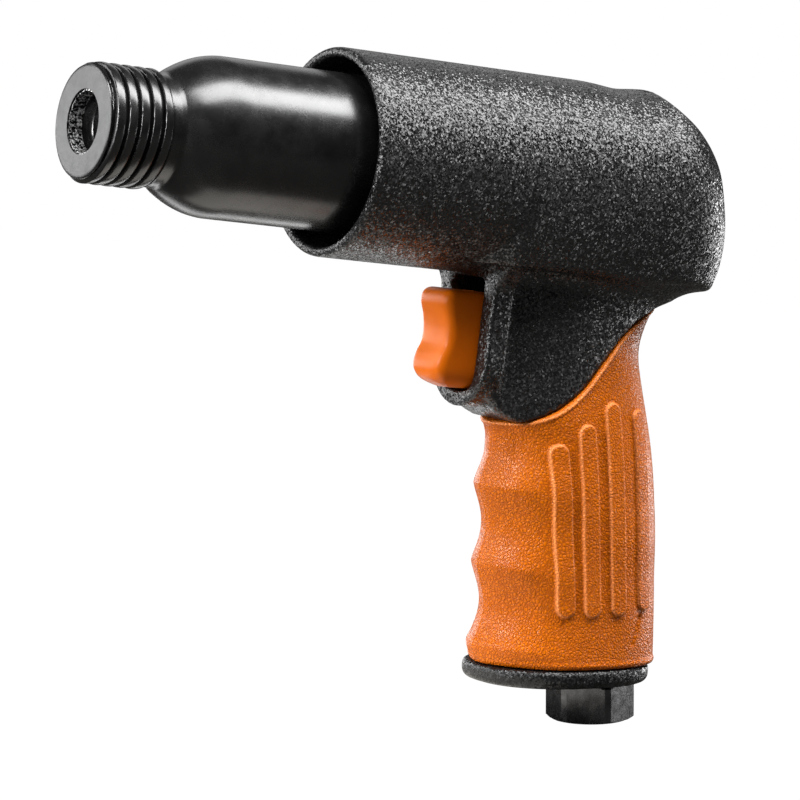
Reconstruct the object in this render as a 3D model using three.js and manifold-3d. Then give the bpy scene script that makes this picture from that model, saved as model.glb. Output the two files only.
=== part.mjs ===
// Pneumatic air hammer: a percussive tool with a threaded barrel, a trigger and a pistol grip with an air inlet.
// Millimetres. The tool frame has x along the barrel towards the muzzle, y to the user's left and z up.
// Its origin is the centre of the muzzle face.

import * as THREE from 'three';
import { mergeVertices } from 'three/addons/utils/BufferGeometryUtils.js';
import { ParametricGeometry } from 'three/addons/geometries/ParametricGeometry.js';
import Module from 'manifold-3d';

const wasm = await Module();
wasm.setup();

// ---- Driving dimensions ----
const GAP = 0.3;

const FACE_RADIUS = 13.1;
const THREAD_RADIUS = 14.3;
const THREAD_ROOT_RADIUS = 12.9;
const THREAD_PITCH = 3.175;
const THREAD_TURNS = 5;
const NECK_RADIUS = 13.5;
const NECK_END_X = -18.6;
const SHOULDER_END_X = -35;
const BARREL_RADIUS = 19.3;
const BARREL_REAR_X = -112;
const MOUTH_RADIUS = 7.7;
const MOUTH_DEPTH = 5;
const SHANK_BORE_RADIUS = 5.2;
const PISTON_BORE_START_X = -38;
const PISTON_BORE_RADIUS = 9.6;
const EXHAUST_PORT_X = -88;
const EXHAUST_PORT_RADIUS = 1.8;

const HEAD_RADIUS = 25.4;
const HEAD_FRONT_X = -66.9;
const SHROUD_WALL = 2.4;
const SHROUD_FLOOR_X = -96;
const BORE_END_X = -134;
const TAIL_START_X = -157;

const INLET_BOTTOM_X = -165.2;
const INLET_BOTTOM_Z = -134.8;
const HANDLE_RAKE = THREE.MathUtils.degToRad(8.3);
const PLATE_TILT = THREE.MathUtils.degToRad(4.2);
const PLATE_THICKNESS = 4.6;
const PLATE_TOP_Z = -120.6;
const PLATE_CENTRE_X = -152;
const PLATE_HALF_LENGTH = 25;
const PLATE_HALF_WIDTH = 18.6;
const SLEEVE_WALL = 3.5;
const OVAL_POWER = 2.3;

const HEX_CORNER_RADIUS = 11.5;
const HEX_FLAT_RADIUS = 10.15;
const HEX_TURN = THREE.MathUtils.degToRad(15.3);
const INLET_BORE_RADIUS = 5.7;
const AIRWAY_RADIUS = 5.2;
const BUSHING_SHANK_RADIUS = 8.6;

const TRIGGER_HALF_WIDTH = 6.6;
const TRIGGER_TOP_Z = -29.7;
const TRIGGER_BOTTOM_Z = -53.9;
const TRIGGER_TRAVEL = 5;
const POCKET_HALF_WIDTH = 7.2;
const POCKET_TOP_Z = -25.9;
const POCKET_BOTTOM_Z = -54.5;
const POCKET_FLOOR_X = -123.6;
const RIM_X = -112.4;
const RIM_HALF_WIDTH = 11.8;
const RIM_CENTRE_Z = -46.2;
const RIM_DEPTH = 6;
const THROTTLE_Z = -41.8;
const THROTTLE_BORE_RADIUS = 8;
const THROTTLE_BORE_END_X = -157;
const DELIVERY_X = -131.6;
const DELIVERY_RADIUS = 2.2;
const STEM_RADIUS = 2.4;

const PISTON_LENGTH = 30;
const PISTON_RADIUS = 9.4;
const VALVE_BODY_LENGTH = 7.7;
const VALVE_CAP_LENGTH = 5;
const SHUTTLE_RADIUS = 8;
const SHUTTLE_LENGTH = 2.4;
const SHUTTLE_TRAVEL = 1.5;

// ---- Finishes ----
function finish(color, roughness, metalness) {
  return new THREE.MeshStandardMaterial({ color, roughness, metalness });
}

const castingPaint = () => finish(0x2b2c2e, 0.85, 0.1);
const blackSteel = () => finish(0x17181a, 0.42, 0.6);
const darkSteel = () => finish(0x4a4b4e, 0.4, 0.9);
const brightSteel = () => finish(0x9b9da1, 0.3, 1);
const brass = () => finish(0xb08d3e, 0.35, 1);
const orangeRubber = () => finish(0xe5680f, 0.7, 0);
const orangePlastic = () => finish(0xf0781a, 0.45, 0);
const blackRubber = () => finish(0x141414, 0.8, 0);

// ---- Joining and cutting ----
function signedVolume(positions, index) {
  const a = new THREE.Vector3();
  const b = new THREE.Vector3();
  const c = new THREE.Vector3();
  let volume = 0;
  for (let i = 0; i < index.length; i += 3) {
    a.fromArray(positions, index[i] * 3);
    b.fromArray(positions, index[i + 1] * 3);
    c.fromArray(positions, index[i + 2] * 3);
    volume += a.dot(b.cross(c)) / 6;
  }
  return volume;
}

function solid(geometry) {
  const bare = geometry.clone();
  for (const name of Object.keys(bare.attributes)) {
    if (name !== 'position') bare.deleteAttribute(name);
  }
  const merged = mergeVertices(bare, 1e-4);
  const vertProperties = Float32Array.from(merged.attributes.position.array);
  const corners = [];
  const index = merged.index.array;
  for (let i = 0; i < index.length; i += 3) {
    const [p, q, r] = [index[i], index[i + 1], index[i + 2]];
    if (p !== q && q !== r && r !== p) corners.push(p, q, r);
  }
  if (signedVolume(vertProperties, corners) < 0) {
    for (let i = 0; i < corners.length; i += 3) [corners[i], corners[i + 1]] = [corners[i + 1], corners[i]];
  }
  const triVerts = Uint32Array.from(corners);
  return new wasm.Manifold(new wasm.Mesh({ numProp: 3, vertProperties, triVerts }));
}

function geometryOf(manifold) {
  const mesh = manifold.getMesh();
  const geometry = new THREE.BufferGeometry();
  geometry.setAttribute('position', new THREE.BufferAttribute(Float32Array.from(mesh.vertProperties), 3));
  geometry.setIndex(new THREE.BufferAttribute(Uint32Array.from(mesh.triVerts), 1));
  geometry.computeVertexNormals();
  return geometry;
}

function join(...parts) {
  return geometryOf(parts.map(solid).reduce((whole, part) => whole.add(part)));
}

function cut(body, ...tools) {
  return geometryOf(tools.map(solid).reduce((whole, tool) => whole.subtract(tool), solid(body)));
}

function common(a, b) {
  return geometryOf(solid(a).intersect(solid(b)));
}

// ---- Basic forms ----
// A turned piece about the x axis. The outline lists [x, radius] and ends on the axis or closes on itself.
function turned(outline, sides = 32) {
  const points = outline.map(([x, radius]) => new THREE.Vector2(radius, x));
  return new THREE.LatheGeometry(points, sides).rotateZ(-Math.PI / 2);
}

function rod(x0, x1, radius, sides = 16) {
  return turned([[x0, 0], [x0, radius], [x1, radius], [x1, 0]], sides);
}

function ring(x0, x1, inner, outer, sides = 24) {
  return turned([[x0, inner], [x0, outer], [x1, outer], [x1, inner], [x0, inner]], sides);
}

function box(x0, x1, y0, y1, z0, z1) {
  const geometry = new THREE.BoxGeometry(x1 - x0, y1 - y0, z1 - z0);
  return geometry.translate((x0 + x1) / 2, (y0 + y1) / 2, (z0 + z1) / 2);
}

// A side outline of [x, z] points, given a thickness in y, with its two rims rounded by the bevel.
function slab(outline, halfWidth, bevel = 0, steps = 3) {
  const shape = new THREE.Shape(outline.map(([x, z]) => new THREE.Vector2(x, z)));
  const depth = 2 * (halfWidth - bevel);
  const geometry = new THREE.ExtrudeGeometry(shape, {
    depth,
    bevelEnabled: bevel > 0,
    bevelThickness: bevel,
    bevelSize: bevel,
    bevelOffset: -bevel,
    bevelSegments: steps,
  });
  return geometry.rotateX(Math.PI / 2).translate(0, depth / 2, 0);
}

// Rounds a sine or cosine off towards a square, for ovals between an ellipse and a box.
function bulge(value) {
  return Math.sign(value) * Math.abs(value) ** (2 / OVAL_POWER);
}

// A value that runs smoothly through [position, value] stations.
function through(stations, position) {
  const curve = new THREE.SplineCurve(stations.map(([at, value]) => new THREE.Vector2(at, value)));
  const last = stations.length - 1;
  const way = Math.sign(stations[last][0] - stations[0][0]);
  let span = stations.findIndex(([at]) => (at - position) * way > 0);
  if (span < 0) span = last;
  if (span === 0) span = 1;
  const [from, to] = [stations[span - 1][0], stations[span][0]];
  const share = THREE.MathUtils.clamp((position - from) / (to - from), 0, 1);
  return curve.getPoint((span - 1 + share) / last).y;
}

// A closed skin through oval level sections. section(z) gives its front and rear x and its half width.
function loft(section, zTop, zBottom, levels, around = 20) {
  const rows = levels + 2;
  const place = (u, v, target) => {
    const row = Math.round(v * rows);
    const share = THREE.MathUtils.clamp((row - 1) / levels, 0, 1);
    const z = THREE.MathUtils.lerp(zTop, zBottom, share);
    const { front, rear, half } = section(z);
    const reach = row === 0 || row === rows ? 0 : 1;
    const turn = u * 2 * Math.PI;
    const x = (front + rear) / 2 + reach * bulge(Math.cos(turn)) * (front - rear) / 2;
    const y = reach * bulge(Math.sin(turn)) * half;
    target.set(x, y, z);
  };
  return new ParametricGeometry(place, around, rows);
}

// Moves a piece turned about the x axis onto the raked inlet axis, its -x end down at the inlet's foot.
function ontoInletAxis(geometry) {
  return geometry.rotateY(-Math.PI / 2 + HANDLE_RAKE).translate(INLET_BOTTOM_X, 0, INLET_BOTTOM_Z);
}

// ---- Handle form, shared by the housing and the grip sleeve ----
const RIDGE_Z = -77.5;
const RIDGE_PITCH = 19.8;
const RIDGE_X = -123.9;
const RIDGE_SLOPE = 0.111;
const GROOVE_DEPTH = 2.5;
const HANDLE_TOP_Z = -24;
const HANDLE_FOOT_Z = PLATE_TOP_Z - 4;
const GRIP_TOP_Z = -62;

function gripFront(z) {
  const turns = (z - RIDGE_Z) / RIDGE_PITCH;
  const groove = GROOVE_DEPTH * Math.abs(Math.sin(Math.PI * turns)) ** 1.4;
  const tuck = 2 * THREE.MathUtils.smoothstep(z, -68, -60);
  return RIDGE_X + RIDGE_SLOPE * (z - RIDGE_Z) - groove - tuck;
}

// Stations down the handle: [z, x of the rear] and [z, half width].
const REAR_LINE = [[-24, -172], [-29, -168.4], [-34, -164.8], [-40, -163.2], [-49, -164.6], [-60, -168],
  [-78, -172.3], [-97, -175.1], [-110, -176.6], [-124, -178.4]];
const WIDTH_LINE = [[-24, 15.5], [-34, 14], [-45, 14], [-60, 15.6], [-78, 16.8], [-97, 17], [-124, 18]];

function gripSection(inset) {
  return (z) => ({
    front: gripFront(Math.min(z, GRIP_TOP_Z)) - inset,
    rear: through(REAR_LINE, z) + inset,
    half: through(WIDTH_LINE, z) - inset,
  });
}

function coreSection(inset) {
  return (z) => ({
    front: RIDGE_X + RIDGE_SLOPE * (z - RIDGE_Z) - GROOVE_DEPTH - inset,
    rear: through(REAR_LINE, z) + inset,
    half: through(WIDTH_LINE, z) - inset,
  });
}

function handleCore(inset) {
  return loft(coreSection(inset), HANDLE_TOP_Z, HANDLE_FOOT_Z, 8);
}

// The sleeve's top edge sweeps from the foot of the trigger block up to the web of the hand.
const SLEEVE_EDGE = [[-112, -61.6], [-120, -61.6], [-127, -60.4], [-132, -58.2], [-137, -54.7],
  [-141.8, -49.9], [-146.3, -44], [-151, -38], [-157, -32.5], [-164, -29.4], [-172, -27.6]];

function sleeveSpace(offset) {
  const edge = new THREE.SplineCurve(SLEEVE_EDGE.map(([x, z]) => new THREE.Vector2(x, z + offset)));
  const line = edge.getPoints(14).map((point) => [point.x, point.y]);
  return slab([[-100, line[0][1]], ...line, [-195, -20.3 + offset], [-195, -150], [-100, -150]], 40);
}

// ---- Airways and pockets inside the housing ----
function throttleBore() {
  return rod(THROTTLE_BORE_END_X, RIM_X + 6, THROTTLE_BORE_RADIUS, 20).translate(0, 0, THROTTLE_Z);
}

function triggerPocket() {
  const half = POCKET_HALF_WIDTH;
  return box(POCKET_FLOOR_X, RIM_X + 12, -half, half, POCKET_BOTTOM_Z, POCKET_TOP_Z);
}

// Carries air from the throttle up to the chamber behind the barrel.
function deliveryAirway() {
  const [top, bottom] = [-14, -40];
  const drill = new THREE.CylinderGeometry(DELIVERY_RADIUS, DELIVERY_RADIUS, top - bottom, 8);
  return drill.rotateX(Math.PI / 2).translate(DELIVERY_X, 0, (top + bottom) / 2);
}

const INLET_AIRWAY_LENGTH = 84;
const BUSHING_POCKET_LENGTH = 34;

function inletAirway() {
  return ontoInletAxis(rod(0, INLET_AIRWAY_LENGTH, AIRWAY_RADIUS, 14));
}

function bushingPocket() {
  return ontoInletAxis(rod(0, BUSHING_POCKET_LENGTH, BUSHING_SHANK_RADIUS + GAP, 20));
}

// ---- Housing ----
const HEAD_SIDES = 32;

function head() {
  const outline = [[TAIL_START_X, 0], [TAIL_START_X, HEAD_RADIUS]];
  const lip = SHROUD_WALL / 2;
  const lipSteps = 4;
  for (let i = 0; i <= lipSteps; i += 1) {
    const turn = (i / lipSteps) * Math.PI;
    outline.push([HEAD_FRONT_X - lip + lip * Math.sin(turn), HEAD_RADIUS - lip + lip * Math.cos(turn)]);
  }
  outline.push([SHROUD_FLOOR_X, HEAD_RADIUS - SHROUD_WALL]);
  outline.push([SHROUD_FLOOR_X, BARREL_RADIUS + GAP]);
  outline.push([BORE_END_X, BARREL_RADIUS + GAP]);
  outline.push([BORE_END_X, 0]);
  return turned(outline, HEAD_SIDES);
}

function headBore() {
  return rod(BORE_END_X, SHROUD_FLOOR_X + 1, BARREL_RADIUS + GAP, HEAD_SIDES);
}

// The rounded rear end, raked so that it reaches furthest back at the heel, just above the web of the hand.
// Stations are [z, reach behind the head's round part].
const TAIL_REACH = [[25.3, 0.6], [21.8, 7.2], [17.5, 13.1], [8.8, 20.1], [0, 23], [-12.6, 26.6], [-19, 27.4],
  [-21.5, 27], [-23.4, 25.2], [-25.2, 21]];
const HEEL_HALF_WIDTH = 4;

function tail() {
  const section = (z) => {
    const reach = through(TAIL_REACH, z);
    const half = Math.max(Math.sqrt(HEAD_RADIUS ** 2 - z ** 2), z < 0 ? HEEL_HALF_WIDTH : 0);
    return { front: TAIL_START_X + reach, rear: TAIL_START_X - reach, half };
  };
  const [top, bottom] = [TAIL_REACH.at(0)[0], TAIL_REACH.at(-1)[0]];
  return loft(section, top, bottom, 14, 24);
}

// The sweep under the heel, from the dome's lower corner to the top of the grip.
function heelSweep() {
  const side = [[-150, -16], [-181, -16], [-181.5, -22.6], [-174, -25.6], [-168, -29.4], [-150, -36]];
  return slab(side, 9, 1.5, 2);
}

// The raised rim around the trigger's pocket, round at its foot.
function triggerRim() {
  const steps = 12;
  const top = -18;
  const outline = [new THREE.Vector2(RIM_HALF_WIDTH, top)];
  for (let i = 0; i <= steps; i += 1) {
    const turn = (i / steps) * Math.PI;
    const y = RIM_HALF_WIDTH * Math.cos(turn);
    outline.push(new THREE.Vector2(y, RIM_CENTRE_Z - RIM_HALF_WIDTH * Math.sin(turn)));
  }
  outline.push(new THREE.Vector2(-RIM_HALF_WIDTH, top));
  const bevel = 0.8;
  const plate = new THREE.ExtrudeGeometry(new THREE.Shape(outline), {
    depth: RIM_DEPTH,
    bevelThickness: bevel,
    bevelSize: bevel,
    bevelOffset: -bevel,
    bevelSegments: 2,
  });
  return plate.rotateX(Math.PI / 2).rotateZ(Math.PI / 2).translate(RIM_X - RIM_DEPTH - bevel, 0, 0);
}

// The block behind the rim that holds the throttle and runs back into the handle.
function triggerWeb() {
  const front = RIM_X - 3;
  const side = [[front, -14], [front, -56], [-117, -58.8], [-121, -61.5], [-128, -63], [-150, -50],
    [-162, -34], [-162, -14]];
  return slab(side, RIM_HALF_WIDTH - 0.4, 2.5, 2);
}

function housing() {
  const neck = loft(gripSection(0), -14, -70, 8);
  const upper = cut(join(head(), tail(), heelSweep(), triggerRim(), triggerWeb(), neck), sleeveSpace(GAP));
  const airways = [throttleBore(), deliveryAirway(), inletAirway(), bushingPocket()];
  return cut(join(upper, handleCore(SLEEVE_WALL)), spaceUnderHandle(), headBore(), triggerPocket(), ...airways);
}

// ---- Grip sleeve ----
const RIB_OFFSETS = [12, 3.6, -4.6, -12];
const RIB_TOPS = [-64.8, -59.3, -53.3, -51];
const RIB_FOOT_Z = -106.5;
const RIB_HALF = 2.3;
const RIB_RISE = 0.7;

function ribs() {
  const handleMiddle = (gripFront(RIDGE_Z) + through(REAR_LINE, RIDGE_Z)) / 2;
  const bars = RIB_OFFSETS.map((offset, i) => {
    const length = RIB_TOPS[i] - RIB_FOOT_Z;
    const middle = (RIB_TOPS[i] + RIB_FOOT_Z) / 2;
    const lean = (middle - RIDGE_Z) * Math.tan(HANDLE_RAKE);
    const bar = new THREE.BoxGeometry(2 * RIB_HALF, 60, length).rotateY(HANDLE_RAKE);
    return bar.translate(handleMiddle + lean + offset, 0, middle);
  });
  return common(loft(gripSection(-RIB_RISE), -40, PLATE_TOP_Z, 8), join(...bars));
}

function gripSleeve() {
  const outer = join(loft(gripSection(0), HANDLE_TOP_Z, HANDLE_FOOT_Z, 20), ribs());
  return cut(common(outer, sleeveSpace(0)), handleCore(SLEEVE_WALL - GAP), spaceUnderHandle());
}

// ---- Base plate ----
// A tilted plate with an oval outline, whose top face passes through the handle's foot.
function tiltedPlate(bottom, top, grow, bevel) {
  const outline = [];
  const steps = 28;
  for (let i = 0; i < steps; i += 1) {
    const turn = (i / steps) * 2 * Math.PI;
    const along = bulge(Math.cos(turn)) * (PLATE_HALF_LENGTH + grow);
    outline.push(new THREE.Vector2(along, bulge(Math.sin(turn)) * (PLATE_HALF_WIDTH + grow)));
  }
  const geometry = new THREE.ExtrudeGeometry(new THREE.Shape(outline), {
    depth: top - bottom - 2 * bevel,
    bevelEnabled: bevel > 0,
    bevelThickness: bevel,
    bevelSize: bevel,
    bevelOffset: -bevel,
    bevelSegments: 2,
  });
  geometry.translate(0, 0, bottom + bevel).rotateY(PLATE_TILT);
  return geometry.translate(PLATE_CENTRE_X, 0, PLATE_TOP_Z);
}

function spaceUnderHandle() {
  return tiltedPlate(-60, GAP, 60, 0);
}

function basePlate() {
  return cut(tiltedPlate(-PLATE_THICKNESS, 0, 0, 1), bushingPocket());
}

// ---- Air inlet ----
// Lengths are measured up the inlet's axis from its foot.
const HEX_LENGTH = 9.4;
const HEX_CHAMFER = 1.2;
const BUSHING_LENGTH = 30;
const THREAD_DEPTH = 14;
const THROAT_RADIUS = 4.4;
const THROAT_END = 24;
const SCREEN_SEAT_RADIUS = 7;
const SCREEN_RADIUS = SCREEN_SEAT_RADIUS - GAP;
const SCREEN_START = 26;
const SCREEN_THICKNESS = 1.4;
const GASKET_THICKNESS = 1.4;

function hexagon() {
  const corner = HEX_FLAT_RADIUS / Math.cos(Math.PI / 6);
  const prism = new THREE.CylinderGeometry(corner, corner, HEX_LENGTH, 6);
  prism.rotateY(HEX_TURN).rotateZ(-Math.PI / 2).translate(HEX_LENGTH / 2, 0, 0);
  const outline = [[0, 0], [0, HEX_FLAT_RADIUS], [HEX_CHAMFER, HEX_CORNER_RADIUS],
    [HEX_LENGTH, HEX_CORNER_RADIUS], [HEX_LENGTH, 0]];
  return common(prism, turned(outline, 36));
}

function inletBushing() {
  const shank = rod(HEX_LENGTH - 1, BUSHING_LENGTH, BUSHING_SHANK_RADIUS, 20);
  const mouth = INLET_BORE_RADIUS + 0.7;
  const beyond = BUSHING_LENGTH + 1;
  const bore = turned([[-1, 0], [-1, mouth], [0, mouth], [0.9, INLET_BORE_RADIUS],
    [THREAD_DEPTH, INLET_BORE_RADIUS], [THREAD_DEPTH + 1, THROAT_RADIUS], [THROAT_END, THROAT_RADIUS],
    [THROAT_END, SCREEN_SEAT_RADIUS], [beyond, SCREEN_SEAT_RADIUS], [beyond, 0]], 20);
  return ontoInletAxis(cut(join(hexagon(), shank), bore));
}

function inletScreen() {
  const end = SCREEN_START + SCREEN_THICKNESS;
  const hole = () => rod(SCREEN_START - 1, end + 1, 0.9, 6);
  const holesAround = 6;
  const holes = [hole()];
  for (let i = 0; i < holesAround; i += 1) {
    const turn = (i / holesAround) * 2 * Math.PI;
    holes.push(hole().translate(0, SCREEN_RADIUS / 2 * Math.cos(turn), SCREEN_RADIUS / 2 * Math.sin(turn)));
  }
  return ontoInletAxis(cut(rod(SCREEN_START, end, SCREEN_RADIUS, 16), ...holes));
}

function inletGasket() {
  const start = BUSHING_LENGTH + GAP;
  return ontoInletAxis(ring(start, start + GASKET_THICKNESS, 6, BUSHING_SHANK_RADIUS - 0.1, 20));
}

// ---- Barrel ----
const SEAL_GROOVE_FRONT_X = -103.6;
const SEAL_GROOVE_REAR_X = -106.4;
const SEAL_GROOVE_RADIUS = 17;

// From the muzzle's face back over the thread, the neck and the shoulder, then forward along the bores.
function barrelOutline() {
  const outline = [[0, MOUTH_RADIUS], [0, FACE_RADIUS], [-0.7, FACE_RADIUS + 0.5]];
  for (let turn = 0; turn < THREAD_TURNS; turn += 1) {
    const start = -0.8 - turn * THREAD_PITCH;
    outline.push([start - THREAD_PITCH * 0.28, THREAD_RADIUS]);
    outline.push([start - THREAD_PITCH * 0.62, THREAD_RADIUS]);
    outline.push([start - THREAD_PITCH * 0.9, THREAD_ROOT_RADIUS]);
  }
  outline.push([NECK_END_X, NECK_RADIUS]);
  const shoulderSteps = 6;
  for (let i = 1; i <= shoulderSteps; i += 1) {
    const left = 1 - i / shoulderSteps;
    const x = SHOULDER_END_X + (NECK_END_X - SHOULDER_END_X) * left;
    outline.push([x, BARREL_RADIUS - (BARREL_RADIUS - NECK_RADIUS) * left ** 2]);
  }
  outline.push([SEAL_GROOVE_FRONT_X, BARREL_RADIUS], [SEAL_GROOVE_FRONT_X, SEAL_GROOVE_RADIUS]);
  outline.push([SEAL_GROOVE_REAR_X, SEAL_GROOVE_RADIUS], [SEAL_GROOVE_REAR_X, BARREL_RADIUS]);
  outline.push([BARREL_REAR_X, BARREL_RADIUS], [BARREL_REAR_X, PISTON_BORE_RADIUS]);
  outline.push([PISTON_BORE_START_X, PISTON_BORE_RADIUS], [PISTON_BORE_START_X, SHANK_BORE_RADIUS]);
  outline.push([-MOUTH_DEPTH - 3, SHANK_BORE_RADIUS], [-MOUTH_DEPTH, MOUTH_RADIUS - 0.4], [0, MOUTH_RADIUS]);
  return outline;
}

function barrel() {
  const ports = [0, 1].map((i) => {
    const drill = new THREE.CylinderGeometry(EXHAUST_PORT_RADIUS, EXHAUST_PORT_RADIUS, 60, 10);
    return drill.rotateX(Math.PI / 4 + i * Math.PI / 2).translate(EXHAUST_PORT_X, 0, 0);
  });
  return cut(turned(barrelOutline(), HEAD_SIDES), ...ports, pinHole());
}

function barrelSeal() {
  const [rear, front] = [SEAL_GROOVE_REAR_X + GAP, SEAL_GROOVE_FRONT_X - GAP];
  return ring(rear, front, SEAL_GROOVE_RADIUS + GAP, BARREL_RADIUS, HEAD_SIDES);
}

function piston() {
  const rear = BARREL_REAR_X + 1.3;
  const front = rear + PISTON_LENGTH;
  const chamfer = 1;
  return turned([[rear, 0], [rear, PISTON_RADIUS - chamfer], [rear + chamfer, PISTON_RADIUS],
    [front - chamfer, PISTON_RADIUS], [front, PISTON_RADIUS - chamfer], [front, 0]], 24);
}

// ---- Cycling valve behind the barrel ----
const VALVE_FRONT_X = BARREL_REAR_X - GAP;
const VALVE_SEAM_X = VALVE_FRONT_X - VALVE_BODY_LENGTH;
const CAP_FRONT_X = VALVE_SEAM_X - GAP;
const CAP_REAR_X = CAP_FRONT_X - VALVE_CAP_LENGTH;
const PIN_RADIUS = 1.2;
const PIN_OFFSET = 14.5;
const PIN_REAR_X = CAP_FRONT_X - 3;
const PIN_FRONT_X = BARREL_REAR_X + 6;
const VALVE_THROAT_RADIUS = 3.5;
const VALVE_PORT_OFFSET = 5.4;
const SPACER_THICKNESS = 2;

function pinHole() {
  return rod(PIN_REAR_X - GAP, PIN_FRONT_X + GAP, PIN_RADIUS + GAP, 12).translate(0, 0, PIN_OFFSET);
}

function valvePin() {
  return rod(PIN_REAR_X, PIN_FRONT_X, PIN_RADIUS, 12).translate(0, 0, PIN_OFFSET);
}

function valveBody() {
  const recessX = VALVE_SEAM_X + SHUTTLE_LENGTH + SHUTTLE_TRAVEL + 2 * GAP;
  const recessRadius = SHUTTLE_RADIUS + GAP;
  const outline = [[VALVE_FRONT_X, VALVE_THROAT_RADIUS], [VALVE_FRONT_X, BARREL_RADIUS],
    [VALVE_SEAM_X, BARREL_RADIUS], [VALVE_SEAM_X, recessRadius], [recessX, recessRadius],
    [recessX, VALVE_THROAT_RADIUS], [VALVE_FRONT_X, VALVE_THROAT_RADIUS]];
  return cut(turned(outline, HEAD_SIDES), pinHole());
}

function shuttleValve() {
  const front = VALVE_SEAM_X + SHUTTLE_LENGTH + SHUTTLE_TRAVEL + GAP;
  return ring(front - SHUTTLE_LENGTH, front, 1.2, SHUTTLE_RADIUS);
}

function valveCap() {
  const ports = [0, 1, 2].map((i) => {
    const turn = Math.PI / 6 + i * 2 * Math.PI / 3;
    const port = rod(CAP_REAR_X - 1, CAP_FRONT_X + 1, 1.6, 10);
    return port.translate(0, VALVE_PORT_OFFSET * Math.cos(turn), -VALVE_PORT_OFFSET * Math.sin(turn));
  });
  return cut(rod(CAP_REAR_X, CAP_FRONT_X, BARREL_RADIUS, HEAD_SIDES), ...ports, pinHole());
}

function valveSpacer() {
  const front = CAP_REAR_X - GAP;
  return ring(front - SPACER_THICKNESS, front, 12, BARREL_RADIUS, HEAD_SIDES);
}

function valveCushion() {
  const front = CAP_REAR_X - 2 * GAP - SPACER_THICKNESS;
  return ring(BORE_END_X + GAP, front, 12.5, BARREL_RADIUS, HEAD_SIDES);
}

// ---- Trigger and throttle ----
const STEM_FRONT_X = -110;
const STEM_REAR_X = -142;

// The finger's face as [x, distance below the trigger's top].
const TRIGGER_FACE = [[-103.2, 1], [-102.9, 3.2], [-104.4, 10], [-104.1, 15], [-102.7, 19.5], [-103.2, 22.4],
  [-105.4, 24]];

function trigger() {
  const rear = POCKET_FLOOR_X + TRIGGER_TRAVEL + 1.4;
  const stations = TRIGGER_FACE.map(([x, down]) => new THREE.Vector2(x, TRIGGER_TOP_Z - down));
  const front = new THREE.SplineCurve(stations).getPoints(12).map((point) => [point.x, point.y]);
  const side = [[rear, TRIGGER_TOP_Z], [-104.4, TRIGGER_TOP_Z], ...front, [rear, TRIGGER_BOTTOM_Z]];
  return cut(slab(side, TRIGGER_HALF_WIDTH, 1.3, 2), stemSocket());
}

function ontoThrottleAxis(geometry) {
  return geometry.translate(0, 0, THROTTLE_Z);
}

function stemSocket() {
  return ontoThrottleAxis(rod(POCKET_FLOOR_X, STEM_FRONT_X + GAP, STEM_RADIUS + GAP));
}

function triggerStem() {
  return ontoThrottleAxis(rod(STEM_REAR_X, STEM_FRONT_X, STEM_RADIUS));
}

const BUSHING_FRONT_X = POCKET_FLOOR_X - 0.4;
const BUSHING_REAR_X = -139;
const SEAL_SEAT_X = -126.6;
const SEAL_SEAT_RADIUS = 5.3;
const AIR_CHAMBER_X = -129;
const AIR_CHAMBER_RADIUS = 4.2;

function throttleBushing() {
  const outer = THROTTLE_BORE_RADIUS - GAP;
  const stemHole = STEM_RADIUS + GAP;
  const outline = [[BUSHING_FRONT_X, SEAL_SEAT_RADIUS], [BUSHING_FRONT_X, outer], [BUSHING_REAR_X, outer],
    [BUSHING_REAR_X, AIR_CHAMBER_RADIUS], [AIR_CHAMBER_X, AIR_CHAMBER_RADIUS], [AIR_CHAMBER_X, stemHole],
    [SEAL_SEAT_X, stemHole], [SEAL_SEAT_X, SEAL_SEAT_RADIUS], [BUSHING_FRONT_X, SEAL_SEAT_RADIUS]];
  const port = new THREE.CylinderGeometry(2, 2, 12, 8).rotateX(Math.PI / 2).translate(DELIVERY_X, 0, 6);
  return ontoThrottleAxis(cut(turned(outline, 20), port));
}

function throttleSeal() {
  const outer = SEAL_SEAT_RADIUS - GAP;
  return ontoThrottleAxis(ring(SEAL_SEAT_X + GAP, BUSHING_FRONT_X - GAP, STEM_RADIUS + GAP, outer, 16));
}

const POPPET_RADIUS = 6.4;
const POPPET_FRONT_X = STEM_REAR_X - GAP;
const POPPET_THICKNESS = 1.8;
const POPPET_TAIL = 4;
const POPPET_STEM_RADIUS = 3;

function throttleValve() {
  const step = POPPET_FRONT_X - POPPET_THICKNESS;
  const rear = POPPET_FRONT_X - POPPET_TAIL;
  const outline = [[POPPET_FRONT_X, 0], [POPPET_FRONT_X, POPPET_RADIUS], [step, POPPET_RADIUS],
    [step, POPPET_STEM_RADIUS], [rear, POPPET_STEM_RADIUS], [rear, 0]];
  return ontoThrottleAxis(turned(outline, 20));
}

function throttleWasher() {
  const washer = ring(STEM_REAR_X, BUSHING_REAR_X - GAP, STEM_RADIUS + GAP, POPPET_RADIUS - 0.2, 20);
  return ontoThrottleAxis(washer);
}

const SPRING_FRONT_X = POPPET_FRONT_X - POPPET_THICKNESS - GAP;
const SPRING_REAR_X = THROTTLE_BORE_END_X + GAP;
const SPRING_RADIUS = 4.5;
const SPRING_WIRE = 0.4;
const SPRING_COILS = 5;

class Coil extends THREE.Curve {
  getPoint(share, target = new THREE.Vector3()) {
    const turn = share * SPRING_COILS * 2 * Math.PI;
    const x = THREE.MathUtils.lerp(SPRING_REAR_X + SPRING_WIRE, SPRING_FRONT_X - SPRING_WIRE, share);
    return target.set(x, SPRING_RADIUS * Math.cos(turn), THROTTLE_Z + SPRING_RADIUS * Math.sin(turn));
  }
}

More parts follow.
